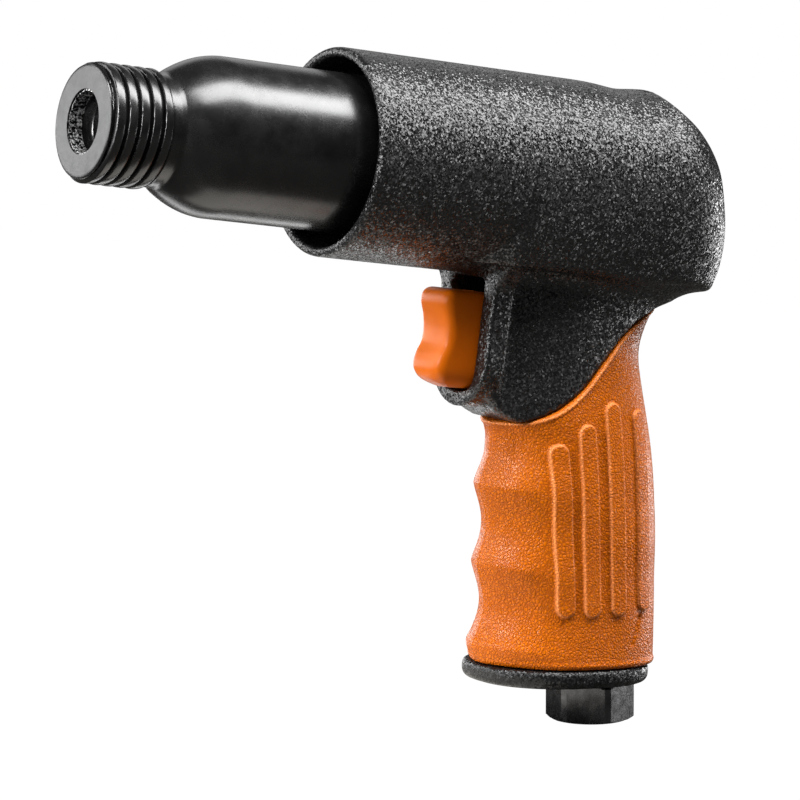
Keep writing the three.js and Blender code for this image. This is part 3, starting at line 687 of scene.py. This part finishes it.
def powder_coat(name, facet_lean, gloss):
    """Sand-textured charcoal paint: small hard grains that lean every way, a few of which catch the light."""
    n = Nodes(name)
    grains = n.cells(COAT_GRAIN, "F1", n.warped(n.noise(0.9, 2.0, 0.5), 0.6))
    chance = n.add("ShaderNodeSeparateColor")
    n.link(grains.outputs["Color"], chance.inputs[0])
    cloud = n.noise(9, 3.0, 0.6)
    shades = [(0.0, (0.001, 0.001, 0.0011)), (0.45, (0.0025, 0.0025, 0.0027)),
              (0.8, (0.006, 0.0061, 0.0065)), (1.0, (0.030, 0.0305, 0.032))]
    tone = n.ramp(chance.outputs["Green"], *shades)
    worn = n.mix(n.ramp(cloud, (0.35, 0.0), (0.75, 0.15)), tone, (0.005, 0.0051, 0.0055))
    n.set(Base_Color=worn, Roughness=n.ramp(chance.outputs["Blue"], (0.0, 0.24), (1.0, 0.44)), Metallic=0.0)
    lean = n.vector("SUBTRACT", grains.outputs["Color"], (0.5, 0.5, 0.5))
    surface = n.add("ShaderNodeNewGeometry").outputs["Normal"]
    tilted = n.vector("MULTIPLY_ADD", lean, (facet_lean,) * 3, surface)
    n.set(Normal=n.vector("NORMALIZE", tilted))
    n.shader.inputs["Specular IOR Level"].default_value = gloss
    return n.material


def black_oxide():
    """Satin black oxide over turned steel, with faint marks round the barrel and small handling marks."""
    n = Nodes("black_oxide")
    stretch = n.add("ShaderNodeMapping")
    n.put(stretch, "Vector", n.place)
    n.put(stretch, "Scale", (1.0, 0.06, 0.06))
    marks = n.noise(0.22, 2.0, 0.6, place=stretch.outputs["Vector"])
    cloud = n.noise(6, 4.0, 0.6)
    speck = n.noise(0.5, 2.0, 0.6)
    film = n.ramp(cloud, (0.35, 0.0), (0.7, 1.0))
    tone = n.mix(film, (0.004, 0.004, 0.0042), (0.0075, 0.0074, 0.0073))
    n.set(Base_Color=tone, Metallic=0.0, IOR=1.62)
    n.set(Roughness=n.ramp(n.sum(cloud, n.sum(speck, 0.5, "MULTIPLY")), (0.5, 0.21), (1.0, 0.31)))
    rough = n.bump(speck, 0.012, 0.5)
    n.set(Normal=n.bump(marks, 0.008, 0.6, over=rough))
    return n.material


def machined_face():
    """The muzzle's bare faced ring, with fine circular marks and a mottled film."""
    n = Nodes("machined_face")
    centre = n.add("ShaderNodeMapping")
    n.put(centre, "Vector", n.place)
    n.put(centre, "Location", (0, -MUZZLE[1], -MUZZLE[2]))
    n.put(centre, "Scale", (0, 1, 1))
    length = n.add("ShaderNodeVectorMath", operation="LENGTH")
    n.put(length, 0, centre.outputs["Vector"])
    rings = n.sum(n.sum(length.outputs["Value"], 2 * math.pi / (TURNING_PITCH * MM), "MULTIPLY"), 0, "SINE")
    mottle = n.noise(0.7, 4.0, 0.65)
    film = n.noise(3.5, 3.0, 0.6)
    patches = n.ramp(n.sum(mottle, film), (0.75, 0.0), (1.25, 1.0))
    tone = n.mix(patches, (0.065, 0.065, 0.066), (0.095, 0.095, 0.096))
    n.set(Base_Color=tone, Metallic=0.75, Roughness=n.ramp(mottle, (0.3, 0.38), (0.7, 0.55)))
    n.set(Normal=n.bump(rings, 0.004, 0.5, over=n.bump(mottle, 0.02, 0.6)))
    return n.material


def bore_steel_painted_glints():
    """Rough drilled steel in the bore's mouth, oily, with painted glints: near-white blobs in its colour
    stand in for light caught by the rough wall.
    """
    n = Nodes("bore_steel_painted_glints")
    chatter = n.noise(0.7, 3.0, 0.7, 0.5)
    # Painted glints: the chatter's high spots are coloured near white on a near-black wall.
    tone = n.mix(n.ramp(chatter, (0.50, 0.0), (0.60, 1.0)), (0.006, 0.006, 0.006), (0.9, 0.9, 0.9))
    n.set(Base_Color=tone, Metallic=0.5, Roughness=n.ramp(chatter, (0.35, 0.18), (0.7, 0.4)))
    n.set(Normal=n.bump(chatter, 0.18, 1.0))
    return n.material


def orange_rubber():
    """Moulded orange rubber with a fine leather grain of small cells between shallow creases, with painted
    shade in the creases and thin painted highlight lines along the ribs' edges and the lip.
    """
    n = Nodes("orange_rubber")
    bent = n.warped(n.noise(1.1, 2.0, 0.5), 1.1)
    crease = n.cells(LEATHER_CELL, "DISTANCE_TO_EDGE", bent).outputs["Distance"]
    raised = n.ramp(crease, (0.0, 0.0), (0.22, 0.8), (0.45, 1.0), kind="EASE")
    fine = n.noise(0.3, 2.0, 0.55)
    height = n.sum(n.sum(fine, 0.3, "MULTIPLY"), raised)
    cloud = n.noise(14, 3.0, 0.55)
    base = n.mix(n.ramp(cloud, (0.3, 0.0), (0.7, 1.0)), (0.53, 0.114, 0.0003), (0.62, 0.139, 0.0005))
    # Painted shade: the leather grain's creases are darkened towards a deep orange.
    grain_crease_shade = n.mix(n.ramp(raised, (0.0, 0.6), (0.6, 0.0)), base, (0.30, 0.046, 0.0002))
    # Painted highlights: thin lighter lines mixed into the colour along the ribs' edges and the lip, where
    # crisp edges catch the light.
    edge_glint_paint = n.add("ShaderNodeAttribute", attribute_name="edge_glint_paint").outputs["Fac"]
    tone = n.mix(n.sum(edge_glint_paint, 0.7, "MULTIPLY"), grain_crease_shade, (0.95, 0.33, 0.10))
    n.set(Base_Color=tone, Roughness=n.ramp(raised, (0.2, 0.50), (0.9, 0.30)), Metallic=0.0)
    n.set(Normal=n.bump(height, 0.24, 1.0))
    n.set(Coat_Normal=n.bump(height, 0.07, 1.0))
    sheen = {"Specular IOR Level": 0.08, "Coat Weight": 0.26, "Coat Roughness": 0.16, "Coat IOR": 1.45}
    for name, value in sheen.items():
        n.shader.inputs[name].default_value = value
    return n.material


def orange_plastic():
    """Satin orange plastic with a very fine spark-eroded texture."""
    n = Nodes("orange_plastic")
    fine = n.noise(0.30, 2.0, 0.6)
    cloud = n.noise(8, 3.0, 0.55)
    tone = n.mix(n.ramp(cloud, (0.3, 0.0), (0.7, 1.0)), (0.56, 0.106, 0.0006), (0.64, 0.128, 0.001))
    n.set(Base_Color=tone, Roughness=n.ramp(fine, (0.3, 0.30), (0.7, 0.44)), Metallic=0.0)
    n.set(Normal=n.bump(fine, 0.05, 0.8))
    n.shader.inputs["Specular IOR Level"].default_value = 0.22
    return n.material


def satin_steel(name, dark, light, rough_low, rough_high):
    """Machined steel with fine lengthwise marks and a slightly cloudy film."""
    n = Nodes(name)
    stretch = n.add("ShaderNodeMapping")
    n.put(stretch, "Vector", n.place)
    n.put(stretch, "Scale", (1.0, 1.0, 0.08))
    marks = n.noise(0.2, 2.0, 0.6, place=stretch.outputs["Vector"])
    cloud = n.noise(2.5, 4.0, 0.65)
    n.set(Base_Color=n.mix(n.ramp(cloud, (0.35, 0.0), (0.68, 1.0)), dark, light), Metallic=1.0)
    n.set(Roughness=n.ramp(n.sum(marks, n.sum(cloud, 0.6, "MULTIPLY")), (0.5, rough_low), (1.1, rough_high)))
    n.set(Normal=n.bump(marks, 0.01, 0.5, over=n.bump(n.noise(0.5, 2.0), 0.02, 0.4)))
    return n.material


def black_rubber():
    n = Nodes("black_rubber")
    fine = n.noise(0.4, 3.0, 0.6)
    n.set(Base_Color=n.mix(fine, (0.008, 0.008, 0.008), (0.02, 0.02, 0.02)))
    n.set(Roughness=n.ramp(fine, (0.3, 0.5), (0.7, 0.7)))
    n.set(Normal=n.bump(fine, 0.02, 0.5))
    return n.material


coat = powder_coat("powder_coat", 0.68, 0.66)
plate_coat = powder_coat("plate_coat", 0.6, 0.35)
oxide = black_oxide()
face_steel = machined_face()
bore = bore_steel_painted_glints()
rubber = orange_rubber()
plastic = orange_plastic()
hex_steel = satin_steel("hex_steel", (0.07, 0.07, 0.072), (0.13, 0.13, 0.134), 0.18, 0.30)
bright_steel = satin_steel("bright_steel", (0.42, 0.43, 0.45), (0.60, 0.61, 0.63), 0.2, 0.36)
brass = satin_steel("brass", (0.52, 0.35, 0.10), (0.70, 0.50, 0.18), 0.22, 0.4)
seal_rubber = black_rubber()


# ---- Pieces ----
def make_housing():
    low, high = corners_mm("housing")
    points, faces = skin(housing_field, low, high, HOUSING_STEP)
    piece = new_object("housing_casting", points, faces, [coat])
    return stands_for(piece, "housing", "tool")


def painted_edge_glints(points):
    """How near each point of the grip is to a rib's edge or to the lip at its top, where thin highlight lines
    are painted into the rubber's colour.
    """
    x, y, z = points.T
    line = np.zeros(len(points))
    for rib in RIBS:
        line = np.maximum(line, np.exp(-(((from_line(x, z, rib) - RIB_HALF + 0.1) / EDGE_GLINT_WIDTH) ** 2)))
    line = line * smoothstep(np.abs(y), 6, 9)
    return np.maximum(line, np.exp(-(((above_sleeve(x, z) + 0.45) / EDGE_GLINT_WIDTH) ** 2)))


def make_sleeve():
    low, high = corners_mm("grip_sleeve")
    points, faces = skin(sleeve_field, low - 1, high + 1, SLEEVE_STEP)
    piece = new_object("rubber_grip", points, faces, [rubber])
    # Stores on the grip's points the mask of its painted edge highlights.
    edge_glint_paint = piece.data.attributes.new("edge_glint_paint", "FLOAT", "POINT")
    edge_glint_paint.data.foreach_set("value", painted_edge_glints(points).astype(np.float32))
    return stands_for(piece, "grip_sleeve", "tool")


def make_plate():
    low, high = corners_mm("base_plate")
    points, faces = skin(plate_field, low, high, PLATE_STEP)
    piece = new_object("grip_base_plate", points, faces, [plate_coat])
    return stands_for(piece, "base_plate", "tool")


def make_trigger():
    low, high = corners_mm("trigger")
    points, faces = skin(trigger_field, low - 0.5, high + 0.5, TRIGGER_STEP)
    piece = new_object("finger_trigger", points, faces, [plastic])
    return stands_for(piece, "trigger", "trigger")


def arc(centre, radius, start, stop, steps):
    """Points on a quarter or part circle in the (along, radius) plane."""
    turns = np.radians(np.linspace(start, stop, steps))
    return [(centre[0] + radius * math.cos(t), centre[1] + radius * math.sin(t)) for t in turns]


def barrel_path():
    """From inside the muzzle, over the face, thread, neck, shoulder and tube, and back along the bore."""
    path = [(PISTON_BORE_START_X, SHANK_BORE_RADIUS)]
    path += [(x, SHANK_BORE_RADIUS) for x in np.linspace(PISTON_BORE_START_X + 1, -MOUTH_DEPTH - 3.6, 12)]
    path += [(-MOUTH_DEPTH - 3.0, SHANK_BORE_RADIUS + 0.15)]
    path += [(-MOUTH_DEPTH - 2.6, 5.9), (-MOUTH_DEPTH - 2.0, 6.2)]
    path += [(-MOUTH_DEPTH - 1.2, 6.3), (-MOUTH_DEPTH - 0.8, 6.85), (-MOUTH_DEPTH, 7.1)]
    path += [(x, MOUTH_RADIUS - 0.45) for x in np.linspace(-MOUTH_DEPTH + 0.4, -0.5, 6)]
    path += arc((-0.3, MOUTH_RADIUS), 0.3, 180, 90, 4)[1:-1] + [(0, MOUTH_RADIUS)]
    path += [(0, r) for r in np.linspace(MOUTH_RADIUS + 0.3, FACE_RADIUS - 0.1, 9)]
    path += arc((-0.35, FACE_RADIUS), 0.35, 90, 45, 3)
    path += [(x, None) for x in np.linspace(-0.5, THREAD_END_X - 1.0, 150)]
    path += [(x, NECK_RADIUS) for x in np.linspace(THREAD_END_X - 1.1, NECK_END_X, 4)]
    for left in np.linspace(1, 0, 27)[1:]:
        x = SHOULDER_END_X + (NECK_END_X - SHOULDER_END_X) * left
        path.append((x, BARREL_RADIUS - (BARREL_RADIUS - NECK_RADIUS) * left**2))
    path += [(x, BARREL_RADIUS) for x in np.linspace(SHOULDER_END_X - 3, SEAL_GROOVE[0] + 0.6, 24)]
    path += [(SEAL_GROOVE[0], BARREL_RADIUS), (SEAL_GROOVE[0], SEAL_GROOVE_RADIUS)]
    path += [(SEAL_GROOVE[1], SEAL_GROOVE_RADIUS), (SEAL_GROOVE[1], BARREL_RADIUS)]
    path += [(BARREL_REAR_X + 0.6, BARREL_RADIUS), (BARREL_REAR_X, BARREL_RADIUS - 0.6)]
    path += [(BARREL_REAR_X, PISTON_BORE_RADIUS + 0.4), (BARREL_REAR_X + 0.4, PISTON_BORE_RADIUS)]
    path += [(x, PISTON_BORE_RADIUS) for x in np.linspace(BARREL_REAR_X + 2, PISTON_BORE_START_X - 0.4, 16)]
    path += [(PISTON_BORE_START_X, PISTON_BORE_RADIUS - 0.4)]
    return path


def thread_radius(x, angles):
    """A thread with broad, slightly rounded crests, which fades in and out at its two ends."""
    phase = (x / THREAD_PITCH + angles / (2 * math.pi) + 0.29) % 1
    from_crest = np.abs(phase - 0.5) * 2
    crest = 1 - smoothstep(from_crest, 0.60, 0.96)
    crest = crest * (1 - 0.06 * (from_crest / 0.5) ** 2)
    start = FACE_RADIUS + (THREAD_RADIUS - FACE_RADIUS) * min(max(-x - 0.4, 0) / 1.1, 1)
    height = THREAD_ROOT_RADIUS + (THREAD_RADIUS - THREAD_ROOT_RADIUS) * crest
    fade = smoothstep(x - THREAD_END_X, -0.9, 0.2)
    return NECK_RADIUS + (np.minimum(height, start) - NECK_RADIUS) * fade


def barrel_finish(face):
    """The number of a face's finish: 1 on the muzzle's ring, 2 in the bore's mouth as far in as the painted
    glints go, 0 elsewhere.
    """
    x, y, z = (np.array(face.center) - MUZZLE) / MM
    radius = math.hypot(y, z)
    if x > -0.05 and MOUTH_RADIUS + 0.1 < radius < FACE_RADIUS - 0.05:
        return 1
    return 2 if radius < MOUTH_RADIUS + 0.05 and x > -PAINTED_GLINT_DEPTH else 0


def make_barrel():
    angles = np.linspace(0, 2 * math.pi, 160, endpoint=False)

    def radius_at(place, turn):
        x, radius = place
        return x, thread_radius(x, turn) if radius is None else np.full(len(turn), radius)

    def onto(x, y, z):
        return np.stack([np.full(len(y), x), y, z], 1)

    points, faces = turned_grid(barrel_path(), angles, radius_at, onto)
    piece = new_object("threaded_barrel", points, faces, [oxide, face_steel, bore])
    piece.data.polygons.foreach_set("material_index", [barrel_finish(face) for face in piece.data.polygons])
    piece.data.set_sharp_from_angle(angle=math.radians(38))
    return stands_for(piece, "barrel", "tool")


def hexagon_angles():
    """Even turns round each flat, and the turns where a flat meets its corner's turned band."""
    even = np.radians(np.linspace(-30, 30, 15)[:-1])
    band = math.acos(HEX_FLAT_RADIUS / HEX_CORNER_RADIUS)
    around = np.concatenate([even, [-band, band]])
    return np.unique(np.round(np.concatenate([HEX_TURN + i * HEX_CORNER + around for i in range(6)]), 6))


def inlet_outline():
    """Heights and radii up the outside of the hexagon and its shank, then down the pocket and bore."""
    outline = [(0.0, 6.6), (0.0, 9.2), (0.0, HEX_FLAT_RADIUS - 0.25), (0.12, HEX_FLAT_RADIUS)]
    bevel, bevel_rise = 0.6, HEX_CORNER_RADIUS - HEX_FLAT_RADIUS
    outline += [(t, HEX_FLAT_RADIUS + bevel_rise * t / bevel) for t in np.linspace(0.16, bevel, 9)]
    outline += [(t, HEX_CORNER_RADIUS) for t in np.linspace(1.2, HEX_LENGTH - 0.3, 6)]
    outline += [(HEX_LENGTH, HEX_CORNER_RADIUS - 0.2), (HEX_LENGTH, BUSHING_SHANK_RADIUS + 0.2)]
    outline += [(HEX_LENGTH + 0.2, BUSHING_SHANK_RADIUS), (BUSHING_LENGTH - 0.4, BUSHING_SHANK_RADIUS)]
    outline += [(BUSHING_LENGTH, BUSHING_SHANK_RADIUS - 0.4), (BUSHING_LENGTH, SCREEN_POCKET_RADIUS + 0.2)]
    outline += [(BUSHING_LENGTH - 0.2, SCREEN_POCKET_RADIUS), (SCREEN_POCKET_FLOOR, SCREEN_POCKET_RADIUS)]
    outline += [(SCREEN_POCKET_FLOOR, AIRWAY_RADIUS), (15.0, AIRWAY_RADIUS), (14.0, INLET_BORE_RADIUS)]
    for i in range(PIPE_THREAD_TURNS):
        top = PIPE_THREAD_TOP - i * PIPE_THREAD_PITCH
        outline += [(top, INLET_BORE_RADIUS), (top - PIPE_THREAD_PITCH / 2, INLET_BORE_RADIUS + 0.45)]
    return outline + [(1.0, INLET_BORE_RADIUS), (0.2, 6.45)]


def make_inlet():
    """The hexagon with corners turned down to narrow bands, its shank up inside the handle and its bore."""
    def radius_at(place, turn):
        up, radius = place
        off = (turn - HEX_TURN + HEX_CORNER / 2) % HEX_CORNER - HEX_CORNER / 2
        hexagon = HEX_FLAT_RADIUS / np.cos(off)
        return up, np.minimum(radius, hexagon) if up <= HEX_LENGTH else np.full(len(turn), radius)

    lean, rise = math.sin(HANDLE_RAKE), math.cos(HANDLE_RAKE)

    def onto(up, side, y):
        x = INLET_BOTTOM[0] + up * lean - side * rise
        z = INLET_BOTTOM[2] + up * rise + side * lean
        return np.stack([x, -y, z], 1)

    points, faces = turned_grid(inlet_outline(), hexagon_angles(), radius_at, onto)
    piece = new_object("inlet_hexagon", points, faces, [hex_steel])
    piece.data.set_sharp_from_angle(angle=math.radians(4.6))
    return stands_for(piece, "inlet_bushing", "tool")


def make_spring():
    """The coil behind the throttle valve."""
    sides = 12
    share = np.linspace(0, 1, 48 * SPRING_COILS + 1)
    turn = 2 * math.pi * SPRING_COILS * share
    outward = np.stack([0 * turn, np.cos(turn), np.sin(turn)], -1)
    middle = SPRING_RADIUS * outward
    middle[:, 0] = SPRING_ENDS[0] + (SPRING_ENDS[1] - SPRING_ENDS[0]) * share
    middle[:, 2] += THROTTLE_Z
    around = np.linspace(0, 2 * math.pi, sides, endpoint=False)[None, :, None]
    along = np.array([1.0, 0.0, 0.0])
    points = middle[:, None] + SPRING_WIRE * (np.cos(around) * outward[:, None] + np.sin(around) * along)
    at = np.arange(len(share) * sides).reshape(-1, sides)
    across = np.roll(at, -1, 1)
    faces = np.stack([at[:-1], at[1:], across[1:], across[:-1]], -1).reshape(-1, 4).tolist()
    faces += [at[0].tolist(), at[-1][::-1].tolist()]
    piece = new_object("throttle_coil", points.reshape(-1, 3), faces, [bright_steel])
    stands_for(piece, "throttle_spring", "tool")
    seat = placed([SPRING_ENDS[0] - SPRING_WIRE, 0.0, THROTTLE_Z]).tolist()
    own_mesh(piece)


KEPT_NODES = [
    (brass, ["inlet_screen", "throttle_bushing", "throttle_valve"]),
    (seal_rubber, ["inlet_gasket", "barrel_seal", "valve_cushion", "throttle_seal", "throttle_washer"]),
    (bright_steel, ["piston", "valve_body", "shuttle_valve", "valve_cap", "valve_pin", "valve_spacer",
                    "trigger_stem"]),
]


def finish_kept_nodes():
    for material, names in KEPT_NODES:
        for name in names:
            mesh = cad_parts[name].data
            mesh.materials.clear()
            mesh.materials.append(material)
            mesh.polygons.foreach_set("use_smooth", [True] * len(mesh.polygons))
            mesh.set_sharp_from_angle(angle=math.radians(35))


# ---- Studio ----
FLOOR_COLOUR = (0.045, 0.043, 0.041)
FLOOR_EVENNESS = 0.85
FLOOR_GLOW = 1.18
FLOOR_REACH = 4.0


def plain_material():
    """A matt floor that shows the camera a nearly even pale tone, with a hint of its shadows."""
    n = Nodes("pale_floor")
    n.set(Base_Color=(*FLOOR_COLOUR, 1), Roughness=0.9)
    n.shader.inputs["Specular IOR Level"].default_value = 0.1
    even = n.add("ShaderNodeEmission")
    n.put(even, "Strength", FLOOR_GLOW)
    ray = n.add("ShaderNodeLightPath")
    share = n.sum(ray.outputs["Is Camera Ray"], FLOOR_EVENNESS, "MULTIPLY")
    mix = n.add("ShaderNodeMixShader")
    n.link(share, mix.inputs[0])
    n.link(n.shader.outputs["BSDF"], mix.inputs[1])
    n.link(even.outputs[0], mix.inputs[2])
    output = next(node for node in n.tree.nodes if node.type == "OUTPUT_MATERIAL")
    n.link(mix.outputs[0], output.inputs["Surface"])
    return n.material


def make_floor():
    mesh = bpy.data.meshes.new("floor")
    corners = [(x * FLOOR_REACH, y * FLOOR_REACH, 0) for x, y in ((-1, -1), (1, -1), (1, 1), (-1, 1))]
    mesh.from_pydata(corners, [], [(0, 1, 2, 3)])
    mesh.materials.append(plain_material())
    floor = bpy.data.objects.new("floor", mesh)
    bpy.context.scene.collection.objects.link(floor)
    floor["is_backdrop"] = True


def make_lamp(name, direction, distance, size, strength, colour=(1, 1, 1), glossy=True, aim=(0, 0, 0)):
    """A softbox that faces the tool. Its strength is the brightness of its face."""
    low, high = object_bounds()
    target = (low + high) / 2 + Vector(aim)
    lamp = bpy.data.lights.new(name, "AREA")
    lamp.shape = "RECTANGLE"
    lamp.size, lamp.size_y = size
    lamp.energy = strength * math.pi * size[0] * size[1]
    lamp.color = colour
    place = bpy.data.objects.new(name, lamp)
    toward = Vector(direction).normalized()
    place.location = target + toward * distance
    place.rotation_euler = toward.to_track_quat("Z", "Y").to_euler()
    place.visible_glossy = glossy
    place.visible_camera = False
    bpy.context.scene.collection.objects.link(place)


WORLD_LIGHT = 0.02
WORLD_SEEN = 1.0


def make_world():
    """A white surround for the camera, which lights the tool only faintly."""
    world = bpy.data.worlds.new("studio")
    world.use_nodes = True
    bpy.context.scene.world = world
    tree = world.node_tree
    tree.nodes.clear()
    output = tree.nodes.new("ShaderNodeOutputWorld")
    ray = tree.nodes.new("ShaderNodeLightPath")
    mix = tree.nodes.new("ShaderNodeMixShader")
    tree.links.new(ray.outputs["Is Camera Ray"], mix.inputs[0])
    for index, strength in ((1, WORLD_LIGHT), (2, WORLD_SEEN)):
        white = tree.nodes.new("ShaderNodeBackground")
        white.inputs["Color"].default_value = (1, 1, 1, 1)
        white.inputs["Strength"].default_value = strength
        tree.links.new(white.outputs[0], mix.inputs[index])
    tree.links.new(mix.outputs[0], output.inputs["Surface"])


# Name, direction from the tool, distance, size, brightness, and how far its aim is from the tool's middle.
SOFTBOXES = [
    ("key_softbox", (0, 0.34, 0.94), 0.9, (1.4, 0.42), 14.5, (-0.25, 0, 0)),
    ("back_softbox", (-0.45, -0.78, 0.50), 0.9, (0.7, 0.35), 0.8, (0, 0, 0)),
    ("front_softbox", (1, -0.12, 0.12), 0.8, (0.7, 0.7), 4.6, (0, 0, 0)),
    ("groove_softbox", (0.94, 0.15, 0.32), 0.8, (0.12, 0.28), 44.0, (0, 0, 0)),
    ("left_back_softbox", (0.72, -0.68, 0.10), 0.8, (0.4, 0.8), 4.0, (0, 0, 0)),
    ("right_softbox", (-0.95, 0.30, 0.02), 0.8, (0.3, 0.12), 8.0, (0, 0, -0.03)),
    ("right_back_softbox", (-0.95, -0.25, 0.02), 0.8, (0.3, 0.12), 10.0, (0, 0, -0.03)),
    ("backdrop_glow", (0.05, -1, 0.05), 0.8, (0.9, 0.18), 4.0, (0, 0, -0.03)),
]
FLOOR_LAMP_DROP = 0.0805


def make_studio():
    make_floor()
    make_world()
    for name, direction, distance, size, strength, aim in SOFTBOXES:
        make_lamp(name, direction, distance, size, strength, aim=aim)
    make_lamp("floor_bounce", (0, 0, -1), FLOOR_LAMP_DROP, (0.12, 0.09), 1.35, colour=(1.0, 0.95, 0.88),
              aim=(0.01, -0.002, 0))
    make_lamp("floor_edge", (0, 0, -1), FLOOR_LAMP_DROP, (0.22, 0.07), 2.5, aim=(-0.05, -0.14, 0))
    make_lamp("front_fill", (0.25, 0.95, 0.30), 1.2, (0.9, 0.9), 0.1, glossy=False)
    bpy.context.scene.view_settings.view_transform = "Standard"


CAMERA_PLACE = np.array([437.96, 820.95, -4.52])
CAMERA_HEADING = -123.0498
CAMERA_PITCH = -3.133
CAMERA_ROLL = 6.887
CAMERA_LENS = 180.0
CAMERA_SENSOR = 36.0


def make_camera():
    heading, pitch, roll = (math.radians(a) for a in (CAMERA_HEADING, CAMERA_PITCH, CAMERA_ROLL))
    flat = math.cos(pitch)
    ahead = Vector((flat * math.cos(heading), flat * math.sin(heading), math.sin(pitch)))
    level = ahead.cross(Vector((0, 0, 1))).normalized()
    upright = level.cross(ahead)
    right = level * math.cos(roll) + upright * math.sin(roll)
    up = upright * math.cos(roll) - level * math.sin(roll)
    data = bpy.data.cameras.new("camera")
    data.lens = CAMERA_LENS
    data.sensor_width = CAMERA_SENSOR
    camera = bpy.data.objects.new("camera", data)
    turn = Matrix((right, up, -ahead)).transposed().to_4x4()
    camera.matrix_world = Matrix.Translation(placed(CAMERA_PLACE)) @ turn
    bpy.context.scene.collection.objects.link(camera)
    bpy.context.scene.camera = camera


make_camera()
make_housing()
make_sleeve()
make_plate()
make_trigger()
make_barrel()
make_inlet()
make_spring()
finish_kept_nodes()
make_studio()
